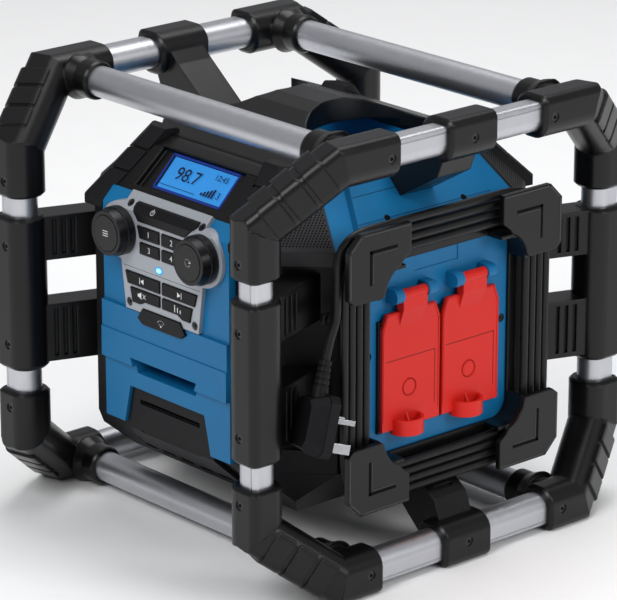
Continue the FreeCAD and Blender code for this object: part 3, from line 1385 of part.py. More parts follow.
def battery_latch():
    face = OUTLET_THICK + PACK_PROUD + LATCH_PROUD
    low = OUTLET_THICK + PACK_PROUD - LATCH_DEPTH + LATCH_TRAVEL + SEAT_GAP
    return prism(LEFT, rect(LATCH_HALF, LATCH_Z - LATCH_HEIGHT, LATCH_Z), low, face)


def door_axis():
    return V(0, BODY_Y + OUTLET_THICK + DOOR_AXIS_REACH - 4, DOOR_AXIS_Z)


def back_panel():
    """Blue back skin with the media bay and the lugs of its door."""
    shape = skin(OUTLET_THICK, back_region())
    shape = shape.fuse(tub(BACK, MEDIA_HALF, MEDIA_BOTTOM, MEDIA_TOP, MEDIA_DEPTH, OUTLET_THICK))
    axis = door_axis()
    lugs = []
    holes = [prism(BACK, rect(MEDIA_HALF, MEDIA_BOTTOM, MEDIA_TOP), -MEDIA_DEPTH, OUTLET_THICK + 1)]
    for side in (-1, 1):
        near = side * (DOOR_HALF - 10)
        far = side * (DOOR_HALF - 2)
        x0, x1 = min(near, far), max(near, far)
        lugs.append(box(x0, x1, BODY_Y + 1, axis.y, DOOR_AXIS_Z - 4.5, DOOR_AXIS_Z + 4.5))
        lugs.append(rod(V(x0, axis.y, axis.z), V(x1, axis.y, axis.z), 4.5))
        tip = side * (DOOR_HALF - 3)
        holes.append(rod(V(near - side, axis.y, axis.z), V(tip, axis.y, axis.z),
                         HINGE_PIN_R + SHAFT_CLEARANCE))
    shape = carve(join([shape] + lugs), holes)
    return drilled(shape, panel_screw_sites())


def media_door():
    """Drop-down door with a barrel between the lugs and a thumb lip at the top."""
    low = OUTLET_THICK + SEAT_GAP
    high = low + DOOR_THICK
    c = 8.0
    points = [(-DOOR_HALF, DOOR_BOTTOM), (DOOR_HALF, DOOR_BOTTOM), (DOOR_HALF, DOOR_TOP - c),
              (DOOR_HALF - c, DOOR_TOP),
              (-DOOR_HALF + c, DOOR_TOP), (-DOOR_HALF, DOOR_TOP - c)]
    plate = prism(BACK, points, low, high)
    plate = plate.cut(prism(BACK, [(-DOOR_HALF + 8, DOOR_BOTTOM + 8), (DOOR_HALF - 8, DOOR_BOTTOM + 8),
                                   (DOOR_HALF - 12, DOOR_TOP - 9), (-DOOR_HALF + 12,
                                                                    DOOR_TOP - 9)], high - 1, high + 1))
    axis = door_axis()
    half = DOOR_HALF - 10 - SEAT_GAP
    barrel = rod(V(-half, axis.y, axis.z), V(half, axis.y, axis.z), 3.8)
    pin_half = DOOR_HALF - 4
    pin = rod(V(-pin_half, axis.y, axis.z), V(pin_half, axis.y, axis.z), HINGE_PIN_R)
    hinge_strap = box(-half, half, BODY_Y + low, BODY_Y + high, axis.z, DOOR_BOTTOM + 1)
    lip = prism(BACK, [(-16, DOOR_TOP - 7), (16, DOOR_TOP - 7), (13, DOOR_TOP - 1), (-13, DOOR_TOP - 1)],
                high - 0.5, high + 6)
    return join([plate, hinge_strap, barrel, pin, lip])


def media_sockets():
    """Small board at the back of the bay with two data sockets and a round audio socket."""
    floor = -MEDIA_DEPTH
    board = prism(BACK, rect(38, -8, 30), floor, floor + BOARD_THICK)
    parts = [board]
    holes = []
    for x in (-22.0, 0.0):
        shell = [(x - 7, 4), (x + 7, 4), (x + 7, 10.5), (x - 7, 10.5)]
        parts.append(prism(BACK, shell, floor, floor + 10))
        for z in (5, 8):
            mouth = [(x - 6, z), (x + 6, z), (x + 6, z + 1.6), (x - 6, z + 1.6)]
            holes.append(prism(BACK, mouth, floor + 3, floor + 11))
    parts.append(rod(BACK.at(22, 7, floor), BACK.at(22, 7, floor + 10), 5))
    holes.append(rod(BACK.at(22, 7, floor + 3), BACK.at(22, 7, floor + 11), 1.8))
    return carve(join(parts), holes)


def power_supply():
    """Mains transformer and board standing on the floor of the base."""
    floor = BELLY_Z + WALL
    core = box(-36, 24, 52, 98, floor, floor + 52)
    coil = box(-28, 16, 48, 102, floor + 8, floor + 44)
    board = box(-60, 60, 46, 104, floor, floor + 2)
    caps = [rod(V(x, 80, floor), V(x, 80, floor + 30), 9) for x in (36.0,)]
    return join([core, coil, board] + caps)


# Small screws on the panels

def panel_screw_sites():
    """Places of the body's screws: surface point and outward direction."""
    sites = []
    for x, z in ((-43.5, 91.5), (46.2, 91.5), (-47.0, 13.0), (47.0, 13.0)):
        level = PLATE_LEVEL
        if z > SHOULDER_Z:
            v = (z - SHOULDER_Z) * ROOT2 - level
            sites.append((FRONT_SLANT.at(x, max(v, 2.0), level), FRONT_SLANT.n))
        else:
            half = PLATE_LOW_HALF - 4.5
            sites.append((FRONT.at(math.copysign(half, x), z - 1, level), FRONT.n))
    for frame, n in ((RIGHT, OUTLET_THICK), (LEFT, OUTLET_THICK)):
        for side in (-1, 1):
            sites.append((frame.at(side * 74, -6, n), frame.n))
    for side in (-1, 1):
        sites.append((BACK.at(side * 72, 60, OUTLET_THICK), BACK.n))
        sites.append((BACK.at(side * 72, -60, OUTLET_THICK), BACK.n))
    return sites


def panel_screws():
    return [screw(place, out) for place, out in panel_screw_sites()]


def write(name, shapes):
    solids = shapes if isinstance(shapes, list) else [shapes]
    loose = []
    for shape in solids:
        loose += shape.Solids
    compound = loose[0].copy() if len(loose) == 1 else Part.makeCompound(loose)
    compound.translate(V(0, 0, HALF_HEIGHT))
    bad = [index for index, solid in enumerate(compound.Solids) if not solid.isValid()]
    compound.exportStep("parts/" + name + ".step")
    size = compound.BoundBox
    print("%-22s %3d solids %9.0f mm3  %s" % (name, len(loose), compound.Volume,
                                              "invalid %s" % bad if bad else ""),
          "x %.1f..%.1f y %.1f..%.1f z %.1f..%.1f" % (size.XMin, size.XMax, size.YMin, size.YMax,
                                                      size.ZMin, size.ZMax))


def corner_name(sx, sy, sz):
    return "elbow_%s_%s_%s" % ("top" if sz > 0 else "bottom", "front" if sy < 0 else "back",
                               "right" if sx > 0 else "left")


def build_cage():
    sites = frame_screw_sites()
    masters = {1: elbow(SIDE_SOCKET_Y), -1: elbow(LOW_SIDE_SOCKET_Y)}
    for sx, sy, sz in OCTANTS:
        corner = mirrored(masters[sz], sx, -sy, sz)
        write(corner_name(sx, sy, sz), drilled(corner, sites))
    write("corner_tubes", [drilled(t, sites) for t in corner_tubes()])
    write("side_tubes", [drilled(t, sites) for t in side_tubes()])
    write("cross_tubes", cross_tubes())
    sleeve = post_sleeve()
    write("post_sleeves", [drilled(mirrored(sleeve, sx, -sy, 1), sites) for sx, sy in CORNERS])
    clamps = []
    for top in (True, False):
        clamp = bar_clamp(top)
        clamps += [drilled(mirrored(clamp, sx, 1, 1), sites) for sx in (-1, 1)]
    write("bar_clamps", clamps)
    write("frame_screws", [screw(place, out) for place, out in sites])


def build_body():
    write("main_housing", main_housing())
    write("top_housing", top_housing())
    write("base_housing", base_housing())
    write("corner_bumpers", corner_bumpers())
    write("carry_handle", carry_handle())
    write("front_panel", front_panel())
    write("bass_cover", bass_cover())
    write("woofer", woofer())
    write("corner_grilles", [corner_grille(sx, sy) for sx, sy in CORNERS])
    write("corner_speakers", [corner_speaker(sx, sy) for sx, sy in CORNERS])
    write("power_supply", power_supply())
    write("battery_panel", battery_panel())
    write("battery_pack", battery_pack())
    write("battery_latch", battery_latch())
    write("back_panel", back_panel())
    write("media_door", media_door())
    write("media_sockets", media_sockets())
    write("panel_screws", panel_screws())


def build_controls():
    write("keypad_plate", keypad_plate())
    write("volume_knob", knob(-1))
    write("tuning_knob", knob(1))
    write("menu_button", knob_button(-1))
    write("source_button", knob_button(1))
    for name in KEYS:
        write(name, key(name))
    write("control_board", control_board())
    write("display_bezel", display_bezel())
    write("display_window", display_window())
    write("display_module", display_module())


def build_outlets_and_cord():
    write("outlet_panel", outlet_panel())
    write("socket_modules", [socket_module(side) for side in (-1, 1)])
    write("socket_cover_a", socket_cover(-1))
    write("socket_cover_b", socket_cover(1))
    write("cord_holder", cord_holder())
    edges, radii, end = winding_path()
    winding = sweep(edges, CORD_D / 2)
    length = sum(edge.Length for edge in edges)
    expected = length * math.pi * (CORD_D / 2) ** 2
    print("winding: length %.0f mm, volume against section %.4f" % (length, winding.Volume / expected))
    print("winding radii", " ".join("%.1f" % r for r in radii))
    print("least gap between turns %.2f mm" % least_gap(edges))
    write("cord_winding", winding)
    tail_edges, tail_radii = route_edges(tail_route(end))
    tail = sweep(tail_edges, CORD_D / 2)
    tail_length = sum(edge.Length for edge in tail_edges)
    print("tail: length %.0f mm, radii" % tail_length, " ".join("%.0f" % r for r in tail_radii))
    write("cord_tail", tail)
    write("plug", plug())
    write("plug_pins", plug_pins())


def least_gap(edges):
    """The smallest clear distance between stretches of the winding that are not neighbours."""
    points = []
    walked = 0.0
    step = 6.0
    for edge in edges:
        count = max(2, int(edge.Length / step))
        for index in range(count):
            where = edge.FirstParameter + (edge.LastParameter - edge.FirstParameter) * index / count
            points.append((walked + edge.Length * index / count, edge.valueAt(where), edge))
        walked += edge.Length
    best = TOOL_REACH
    for index, (at, point, edge) in enumerate(points):
        probe = Part.Vertex(point)
        for other, other_edge in enumerate(edges):
            if abs(other - edges.index(edge)) > 3:
                near = abs(other_edge.BoundBox.Center.y - point.y) < TOOL_REACH
                if near:
                    best = min(best, probe.distToShape(other_edge)[0])
        if index > len(points) / 2:
            break
    return best - CORD_D


os.makedirs("parts", exist_ok=True)
build_cage()
build_body()
build_controls()
build_outlets_and_cord()
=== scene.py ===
import bpy
import bmesh
import json
import math
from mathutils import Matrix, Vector


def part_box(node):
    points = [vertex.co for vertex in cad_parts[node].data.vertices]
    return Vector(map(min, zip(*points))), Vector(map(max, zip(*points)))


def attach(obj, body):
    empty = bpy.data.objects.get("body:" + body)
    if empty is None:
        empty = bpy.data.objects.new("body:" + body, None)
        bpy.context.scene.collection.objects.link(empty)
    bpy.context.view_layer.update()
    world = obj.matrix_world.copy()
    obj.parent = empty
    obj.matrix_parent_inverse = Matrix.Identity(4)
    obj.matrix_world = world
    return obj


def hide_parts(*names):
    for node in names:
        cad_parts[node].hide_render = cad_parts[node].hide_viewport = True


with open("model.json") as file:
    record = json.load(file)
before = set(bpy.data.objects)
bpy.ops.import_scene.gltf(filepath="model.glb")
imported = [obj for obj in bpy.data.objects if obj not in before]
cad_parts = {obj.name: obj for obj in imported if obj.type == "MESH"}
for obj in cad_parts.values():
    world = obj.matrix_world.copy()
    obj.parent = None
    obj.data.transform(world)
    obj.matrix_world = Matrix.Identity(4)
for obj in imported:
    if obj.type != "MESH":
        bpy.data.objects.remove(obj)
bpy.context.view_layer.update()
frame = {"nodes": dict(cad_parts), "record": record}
nodes = frame["nodes"]

# Driving sizes in metres, the same ones that shape the solids
HALF_HEIGHT = 0.18935
BODY_X = 0.147
BODY_Y = 0.150
SHOULDER_Z = 0.086
CORNER_X = 0.123
CORNER_Y = 0.126
FLAP_X = 0.177

# Levels above the body's flats, in metres
PLATE_LEVEL = 0.011
LAMP_LEVEL = 0.0114
KEY_LEVEL = 0.0123
OUTLET_LEVEL = 0.005
COVER_LEVEL = 0.0118
FLAP_LEVEL = FLAP_X - BODY_X
GRILLE_LEVEL = 0.002
GLOW_LEVEL = 0.0009
DISPLAY_LEVEL = 0.0024
BEZEL_WELL_LEVEL = 0.0026
BEZEL_EDGE_LEVEL = 0.0006

# Thickness of thin pieces, in metres
HAIR = 0.00008
GLOW_DEPTH = 0.0001
SINK = 0.0002
RING_RISE = 0.0006
RIM_RISE = 0.0005
SOFT_EDGE = 0.0002

# Widths of drawn lines, in millimetres
CREASE_LINE = 0.45
FINE_LINE = 0.5
SYMBOL_LINE = 0.6
SEAM_LINE = 0.7
GROOVE_LINE = 0.8
TONE_LINE = 1.0
RING_LINE = 1.1
EDGE_LINE = 1.2
SPILL_LINE = 2.0
FLAP_GROOVE_LINE = 2.6

# Winding, tail and plug, in metres
DRUM_HALF = 0.0825
DRUM_TOP = 0.073
DRUM_BOTTOM = -0.094
DRUM_CORNER_R = 0.018
CORD_D = 0.007
CORD_PITCH = 0.0076
CORD_TURNS = 4
CORD_LIFT = 0.0006
CORD_X = 0.163
CORD_LEAVE_R = 0.036
GLAND_Z = 0.050
TAIL_DROP = [(0.163, -0.1171, 0.054), (0.1632, -0.1178, 0.038)]
PLUG_MIDDLE = Vector((0.1683, -0.1463, -0.0396))
PLUG_PINS_TO = Vector((0.38, 0.90, -0.28))
PLUG_LEAN = math.radians(12.0)
PLUG_HEIGHT = 0.050
BOOT_LENGTH = 0.026
BOOT_APPROACH = 0.015

# Cage screws, in metres
SCREW_SEAT = 0.01835
POST_X = 0.148
POST_SCREW_Y = 0.188 + SCREW_SEAT
SIDE_SCREW_X = FLAP_X + SCREW_SEAT
BAR_Z = 0.171
SLEEVE_SCREW_Z = 0.043
ELBOW_SCREW_Z = 0.099
TOP_ELBOW_SCREW_Y = 0.089
LOW_ELBOW_SCREW_Y = 0.108
SCREW_SINK = 0.001
DRIVE_SIDES = 6
DRIVE_R = 0.0017
DRIVE_DEPTH = 0.0003

# Corner grilles, in millimetres on their own leaning plane
GRILLE_WIDE = 33.9
GRILLE_NARROW = 15.2
GRILLE_RISE = 70.0
GRILLE_EDGE = 4.5
GRILLE_INNER_EDGE = 14.5
HOLE_PITCH = 2.7
HOLE_SIDES = 8
HOLE_R = 0.0008

# Knobs, in millimetres on the front
KNOB_X = 52.0
KNOB_Z = 71.0
KNOB_RIM = 2.7

# Camera, solved from the cage in the photograph
LENS = 214.05
SENSOR = 36.0
CAMERA_PLACE = (2.1795, -1.9361, 0.972 + HALF_HEIGHT)
CAMERA_YAW = math.radians(48.42)
CAMERA_PITCH = math.radians(18.66)


def put(name, data):
    """A new object at the origin."""
    thing = bpy.data.objects.new(name, data)
    bpy.context.scene.collection.objects.link(thing)
    return thing


def make_camera():
    data = bpy.data.cameras.new("camera")
    data.lens = LENS
    data.sensor_width = SENSOR
    camera = put("camera", data)
    camera.location = CAMERA_PLACE
    camera.rotation_euler = (math.pi / 2 - CAMERA_PITCH, 0, CAMERA_YAW)
    bpy.context.scene.camera = camera


# Shader maths

class Value:
    """One number of a material, whose operators add Math nodes."""

    def __init__(self, tree, socket):
        self.tree = tree
        self.socket = socket

    def math(self, operation, first, second):
        node = self.tree.nodes.new("ShaderNodeMath")
        node.operation = operation
        for target, value in zip(node.inputs, (first, second)):
            if isinstance(value, Value):
                self.tree.links.new(value.socket, target)
            else:
                target.default_value = value
        return Value(self.tree, node.outputs[0])

    def __add__(self, other):
        return self.math("ADD", self, other)

    def __radd__(self, other):
        return self.math("ADD", other, self)

    def __mul__(self, other):
        return self.math("MULTIPLY", self, other)

    def __rmul__(self, other):
        return self.math("MULTIPLY", other, self)


class Finish:
    """A material under construction on object coordinates, with one shader."""

    def __init__(self, name):
        self.material = bpy.data.materials.new(name)
        self.material.use_nodes = True
        self.tree = self.material.node_tree
        self.shader = self.tree.nodes["Principled BSDF"]
        self.place = self.node("ShaderNodeTexCoord").outputs["Object"]

    def node(self, kind, settings=(), sockets=()):
        """Any node, by its type, its settings and the values or links of its sockets."""
        node = self.tree.nodes.new(kind)
        for name, value in dict(settings).items():
            setattr(node, name, value)
        for name, value in dict(sockets).items():
            self.feed(node.inputs[name], value)
        return node

    def feed(self, target, value):
        if isinstance(value, Value):
            self.tree.links.new(value.socket, target)
        elif isinstance(value, bpy.types.NodeSocket):
            self.tree.links.new(value, target)
        elif isinstance(value, tuple) and target.type == "RGBA":
            target.default_value = (*value, 1.0)
        else:
            target.default_value = value

    def noise(self, scale, detail, stretch=(1.0, 1.0, 1.0)):
        mapping = self.node("ShaderNodeMapping", sockets={"Vector": self.place, "Scale": stretch})
        inputs = {"Vector": mapping.outputs[0], "Scale": scale, "Detail": detail}
        return Value(self.tree, self.node("ShaderNodeTexNoise", sockets=inputs).outputs["Fac"])

    def blend(self, share, first, second):
        node = self.node("ShaderNodeMix", {"data_type": "RGBA"}, {"Factor": share})
        colours = [socket for socket in node.inputs if socket.type == "RGBA"]
        for target, value in zip(colours, (first, second)):
            self.feed(target, value)
        return [socket for socket in node.outputs if socket.type == "RGBA"][0]

    def set(self, **looks):
        for name, value in looks.items():
            self.feed(self.shader.inputs[name.replace("_", " ")], value)

    def relief(self, height, distance, edge):
        """Fine bump over softly rounded edges."""
        bevel = self.node("ShaderNodeBevel", {"samples": 4}, {"Radius": edge})
        inputs = {"Distance": distance, "Height": height, "Normal": bevel.outputs[0]}
        bump = self.node("ShaderNodeBump", sockets=inputs)
        self.feed(self.shader.inputs["Normal"], bump.outputs[0])


# Finishes

GLOSS_SPREAD = 0.16
BRUSH_SPREAD = 0.14
GLASS_SPREAD = 0.05


def shade(colour, by):
    return tuple(min(1.0, part * by) for part in colour)


def moulded(name, colour, rough, grain=0.00005, scale=1300.0, edge=0.0010, metal=0.0, wear=0.25,
            shine=0.3):
    """Moulded plastic or rubber: spark texture, faint cloudiness and uneven gloss."""
    finish = Finish(name)
    cloud = finish.noise(22.0, 4.0)
    darker = shade(colour, 1.0 - wear / 2)
    lighter = shade(colour, 1.0 + wear)
    finish.set(Base_Color=finish.blend(cloud, darker, lighter), Metallic=metal,
               Roughness=rough - GLOSS_SPREAD / 2 + GLOSS_SPREAD * cloud)
    finish.shader.inputs["Specular IOR Level"].default_value = shine
    finish.relief(finish.noise(scale, 2.0), grain, edge)
    return finish


def anodised(name):
    """Drawn and anodised tube, brushed along its length."""
    finish = Finish(name)
    brush = finish.noise(260.0, 3.0, (1.0, 1.0, 0.04))
    cloud = finish.noise(9.0, 3.0)
    finish.set(Base_Color=finish.blend(cloud, (0.50, 0.51, 0.54), (0.62, 0.63, 0.66)), Metallic=1.0,
               Roughness=0.32 + BRUSH_SPREAD * brush)
    finish.relief(brush, 0.00003, 0.0012)
    return finish


def lit(name, colour, strength):
    """A surface that shines by itself, a little unevenly."""
    finish = Finish(name)
    cloud = finish.noise(30.0, 2.0)
    finish.set(Base_Color=finish.blend(cloud, shade(colour, 0.8), colour),
               Emission_Color=finish.blend(cloud, shade(colour, 0.85), colour), Roughness=0.25)
    finish.shader.inputs["Emission Strength"].default_value = strength
    return finish


def clear_window(name):
    finish = Finish(name)
    cloud = finish.noise(60.0, 2.0)
    finish.set(Base_Color=finish.blend(cloud, (0.02, 0.05, 0.10), (0.03, 0.06, 0.12)),
               Roughness=0.04 + GLASS_SPREAD * cloud, Alpha=0.12)
    return finish


FINISHES = {
    "tube": anodised("anodised_tube"),
    "elbow": moulded("elbow_plastic", (0.0035, 0.0035, 0.004), 0.30, edge=0.0022, shine=0.32),
    "housing": moulded("housing_plastic", (0.005, 0.005, 0.006), 0.46, 0.0001, 1100.0, shine=0.18),
    "blue": moulded("blue_plastic", (0.004, 0.135, 0.315), 0.42, wear=0.10, shine=0.28),
    "silver": moulded("plate_paint", (0.36, 0.38, 0.415), 0.38, scale=1800.0, metal=0.3,
                      wear=0.08, shine=0.5),
    "key": moulded("key_rubber", (0.004, 0.004, 0.005), 0.40, shine=0.2),
    "knob": moulded("knob_plastic", (0.004, 0.004, 0.005), 0.30),
    "bumper": moulded("bumper_rubber", (0.007, 0.007, 0.008), 0.56, 0.00012, 900.0, 0.0015,
                      shine=0.2),
    "grille": moulded("grille_plastic", (0.020, 0.020, 0.022), 0.46, shine=0.25),
    "cover": moulded("cover_plastic", (0.62, 0.014, 0.008), 0.42, wear=0.08),
    "cord": moulded("cord_rubber", (0.005, 0.005, 0.005), 0.40, scale=800.0, edge=0.0004),
    "pin": moulded("pin_metal", (0.66, 0.67, 0.70), 0.22, 0.00002, 900.0, 0.0004, metal=1.0),
    "screw": moulded("screw_steel", (0.06, 0.06, 0.065), 0.34, 0.00002, 900.0, 0.0003, metal=1.0),
    "window": clear_window("display_glass"),
    "lcd": moulded("display_frame", (0.004, 0.006, 0.010), 0.6, shine=0.2),
    "board": moulded("circuit_board", (0.02, 0.14, 0.06), 0.4),
    "speaker": moulded("speaker_parts", (0.012, 0.012, 0.012), 0.6),
    "supply": moulded("supply_core", (0.16, 0.16, 0.17), 0.5, metal=0.8),
}
BACKLIGHT = lit("display_backlight", (0.025, 0.25, 0.66), 0.62)
SPILL = lit("display_spill", (0.002, 0.02, 0.20), 0.5)
LAMP = lit("lamp_blue", (0.15, 0.45, 1.0), 3.0)
HALO = moulded("lamp_halo", (0.10, 0.42, 0.80), 0.5)
SEAM = moulded("blue_seam", (0.002, 0.045, 0.11), 0.6, shine=0.2)
# Darker grey painted shade for the plate's crease
CREASE_SHADE = moulded("plate_crease_shade", (0.10, 0.105, 0.115), 0.5)
PRINT = moulded("white_print", (0.72, 0.73, 0.74), 0.5)
# Near-black painted shade, put in screw drives, grille holes, flap grooves and screw pockets
HOLLOW_SHADE = moulded("hollow_shadow", (0.001, 0.001, 0.001), 0.7, shine=0.1)
# Darker red painted shade for the folded groove on each outlet cover
RED_GROOVE_SHADE = moulded("cover_groove_shade", (0.20, 0.010, 0.004), 0.6)
# Pale grey painted highlight along the knob rims and the flap edges
PAINTED_EDGE_HIGHLIGHT = moulded("painted_edge_highlight", (0.045, 0.045, 0.048), 0.45)
DARK_PIXEL = moulded("display_dots", (0.003, 0.01, 0.05), 0.4)


def dress_solids():
    """Give every solid the finish of its material slot."""
    for part in frame["record"]["subparts"]:
        mesh = nodes[part["node"]].data
        mesh.materials.clear()
        mesh.materials.append(FINISHES[part["material_slot"]].material)


# Working planes and makers of thin pieces

class Plane:
    def __init__(self, origin, across, along):
        self.origin = Vector(origin)
        self.across = Vector(across).normalized()
        self.along = Vector(along).normalized()
        self.out = self.across.cross(self.along)

    def at(self, a, b, level):
        """A point from millimetres on the plane and metres above it."""
        return self.origin + self.across * (a / 1000) + self.along * (b / 1000) + self.out * level


FRONT = Plane((0, -BODY_Y, HALF_HEIGHT), (1, 0, 0), (0, 0, 1))
RIGHT = Plane((BODY_X, 0, HALF_HEIGHT), (0, 1, 0), (0, 0, 1))
FRONT_SLOPE = Plane((0, -BODY_Y, HALF_HEIGHT + SHOULDER_Z), (1, 0, 0), (0, 1, 1))
RIGHT_SLOPE = Plane((BODY_X, 0, HALF_HEIGHT + SHOULDER_Z), (0, 1, 0), (-1, 0, 1))


def add(name, mesh, finish, body="radio", bevel=0.0):
    piece = put(name, mesh)
    mesh.materials.clear()
    mesh.materials.append(finish.material)
    if bevel:
        rounding = piece.modifiers.new("rounding", "BEVEL")
        rounding.width = bevel
        rounding.segments = 2
        rounding.limit_method = "ANGLE"
    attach(piece, body)
    return piece


def slab(outlines, plane, low, high):
    """Extruded outlines in one mesh, between two levels above a plane."""
    mesh = bpy.data.meshes.new("slab")
    build = bmesh.new()
    for outline in outlines:
        area = sum(a[0] * b[1] - b[0] * a[1] for a, b in zip(outline, outline[1:] + outline[:1]))
        ordered = outline if area > 0 else outline[::-1]
        lower = [build.verts.new(plane.at(a, b, low)) for a, b in ordered]
        upper = [build.verts.new(plane.at(a, b, high)) for a, b in ordered]
        build.faces.new(upper)
        build.faces.new(lower[::-1])
        for i in range(len(ordered)):
            build.faces.new((lower[i - 1], lower[i], upper[i], upper[i - 1]))
    build.to_mesh(mesh)
    build.free()
    return mesh


def printed(outlines, plane, level):
    return slab(outlines, plane, level, level + HAIR)


def stroke(points, width):
    """A line of constant width along points."""
    quads = []
    for (x0, y0), (x1, y1) in zip(points, points[1:]):
        length = math.hypot(x1 - x0, y1 - y0)
        dx = (x1 - x0) / length * width / 2
        dy = (y1 - y0) / length * width / 2
        quads.append([(x0 - dx - dy, y0 - dy + dx), (x1 + dx - dy, y1 + dy + dx),
                      (x1 + dx + dy, y1 + dy - dx), (x0 - dx + dy, y0 - dy - dx)])
    return quads


def arc(x, y, r, start, stop, count=24, squash=1.0):
    steps = [math.radians(start + (stop - start) * i / count) for i in range(count + 1)]
    return [(x + r * math.cos(t), y + r * squash * math.sin(t)) for t in steps]


def disc(x, y, r, squash=1.0):
    return arc(x, y, r, 0, 345, 23, squash)


def plain_mesh(source):
    """The finished mesh of an object, which is then removed."""
    bpy.context.view_layer.update()
    graph = bpy.context.evaluated_depsgraph_get()
    mesh = bpy.data.meshes.new_from_object(source.evaluated_get(graph))
    bpy.data.objects.remove(source)
    return mesh


def digits(name, text, size, plane, middle, level, finish, body="radio"):
    """Plain numbers on a plane, with their place in the mesh."""
    font = bpy.data.curves.new(name, "FONT")
    font.body = text
    font.size = size
    font.align_x = "CENTER"
    font.align_y = "CENTER"
    font.extrude = HAIR / 2
    mesh = plain_mesh(put(name, font))
    for vertex in mesh.vertices:
        x, y, z = vertex.co
        vertex.co = plane.at(middle[0] + x * 1000, middle[1] + y * 1000, level + z)
    return add(name, mesh, finish, body)


# Repeated pegs of painted shade: screw drives and grille holes

def peg_tree():
    """Geometry nodes that stand one peg on each point, along the point's own direction."""
    tree = bpy.data.node_groups.new("pegs", "GeometryNodeTree")
    kinds = {"Points": "Geometry", "Sides": "Int", "Radius": "Float", "Depth": "Float",
             "Finish": "Material"}
    for name, kind in kinds.items():
        tree.interface.new_socket(name, in_out="INPUT", socket_type="NodeSocket" + kind)
    tree.interface.new_socket("Pegs", in_out="OUTPUT", socket_type="NodeSocketGeometry")
    inlet = tree.nodes.new("NodeGroupInput").outputs
    outlet = tree.nodes.new("NodeGroupOutput").inputs
    peg = tree.nodes.new("GeometryNodeMeshCylinder")
    facing = tree.nodes.new("GeometryNodeInputNamedAttribute")
    facing.data_type = "FLOAT_VECTOR"
    facing.inputs["Name"].default_value = "facing"
    turn = tree.nodes.new("FunctionNodeAlignRotationToVector")
    turn.axis = "Z"
    spread = tree.nodes.new("GeometryNodeInstanceOnPoints")
    real = tree.nodes.new("GeometryNodeRealizeInstances")
    paint = tree.nodes.new("GeometryNodeSetMaterial")
    for source, target in ((inlet["Points"], spread.inputs["Points"]),
                           (inlet["Sides"], peg.inputs["Vertices"]),
                           (inlet["Radius"], peg.inputs["Radius"]),
                           (inlet["Depth"], peg.inputs["Depth"]),
                           (inlet["Finish"], paint.inputs["Material"]),
                           (peg.outputs["Mesh"], spread.inputs["Instance"]),
                           (facing.outputs["Attribute"], turn.inputs["Vector"]),
                           (turn.outputs["Rotation"], spread.inputs["Rotation"]),
                           (spread.outputs["Instances"], real.inputs["Geometry"]),
                           (real.outputs["Geometry"], paint.inputs["Geometry"]),
                           (paint.outputs["Geometry"], outlet["Pegs"])):
        tree.links.new(source, target)
    return tree


def pegs(name, tree, places, **sizes):
    """One mesh of pegs, from pairs of a point and a direction, with the tree's inputs by name."""
    mesh = bpy.data.meshes.new(name)
    mesh.from_pydata([point for point, _ in places], [], [])
    facing = mesh.attributes.new("facing", "FLOAT_VECTOR", "POINT")
    for item, (_, out) in zip(facing.data, places):
        item.vector = out
    source = put(name, mesh)
    modifier = source.modifiers.new("pegs", "NODES")
    modifier.node_group = tree
    for item in tree.interface.items_tree:
        if item.name in sizes:
            modifier[item.identifier] = sizes[item.name]
        # Every peg gets the painted shade
        if item.name == "Finish":
            modifier[item.identifier] = HOLLOW_SHADE.material
    return add(name, plain_mesh(source), HOLLOW_SHADE)


def screw_places():
    """Where the cage's screws sit, and which way each one faces."""
    places = []
    for sx in (-1, 1):
        for sy in (-1, 1):
            for sz in (-1, 1):
                for height in (SLEEVE_SCREW_Z, ELBOW_SCREW_Z):
                    places.append(((sx * POST_X, sy * POST_SCREW_Y, sz * height), (0, sy, 0)))
                side_y = TOP_ELBOW_SCREW_Y if sz > 0 else LOW_ELBOW_SCREW_Y
                places.append(((sx * SIDE_SCREW_X, sy * side_y, sz * BAR_Z), (sx, 0, 0)))
            places.append(((sx * SIDE_SCREW_X, 0, sy * BAR_Z), (sx, 0, 0)))
    middle = Vector((0, 0, HALF_HEIGHT))
    return [(Vector(point) + middle - Vector(out) * SCREW_SINK, Vector(out))
            for point, out in places]


def grille_places():
    """Staggered rows of holes on the four leaning corner faces."""
    row_step = HOLE_PITCH * math.sqrt(3) / 2
    rows = math.ceil((GRILLE_RISE - 2 * GRILLE_EDGE) / row_step)
    places = []
    for sx in (-1, 1):
        for sy in (-1, 1):
            origin = (sx * CORNER_X, sy * CORNER_Y, HALF_HEIGHT + SHOULDER_Z)
            plane = Plane(origin, (-sy, sx, 0), (-sx, -sy, math.sqrt(2)))
            for row in range(rows):
                height = GRILLE_EDGE + row * row_step
                half = GRILLE_WIDE + (GRILLE_NARROW - GRILLE_WIDE) * height / GRILLE_RISE
                start = GRILLE_EDGE - half + HOLE_PITCH / 2 * (row % 2)
                for column in range(math.ceil((half - GRILLE_INNER_EDGE - start) / HOLE_PITCH)):
                    across = sx * sy * (start + column * HOLE_PITCH)
                    places.append((plane.at(across, height, GRILLE_LEVEL), plane.out))
    return places


def make_pegs():
    tree = peg_tree()
    pegs("screw_drives", tree, screw_places(), Sides=DRIVE_SIDES, Radius=DRIVE_R, Depth=DRIVE_DEPTH)
    pegs("grille_holes", tree, grille_places(), Sides=HOLE_SIDES, Radius=HOLE_R, Depth=2 * HAIR)


# Cord: the winding's turns and the tail in one smooth line

def lane(quarter):
    """How far the cord's middle lies off the drum after a number of quarter turns."""
    return CORD_LIFT + CORD_D / 2 + CORD_PITCH * quarter / 4


def lane_line(quarter):
    off = lane(quarter)
    return (-DRUM_HALF - off, DRUM_BOTTOM - off, DRUM_HALF + off, DRUM_TOP + off)[quarter % 4]


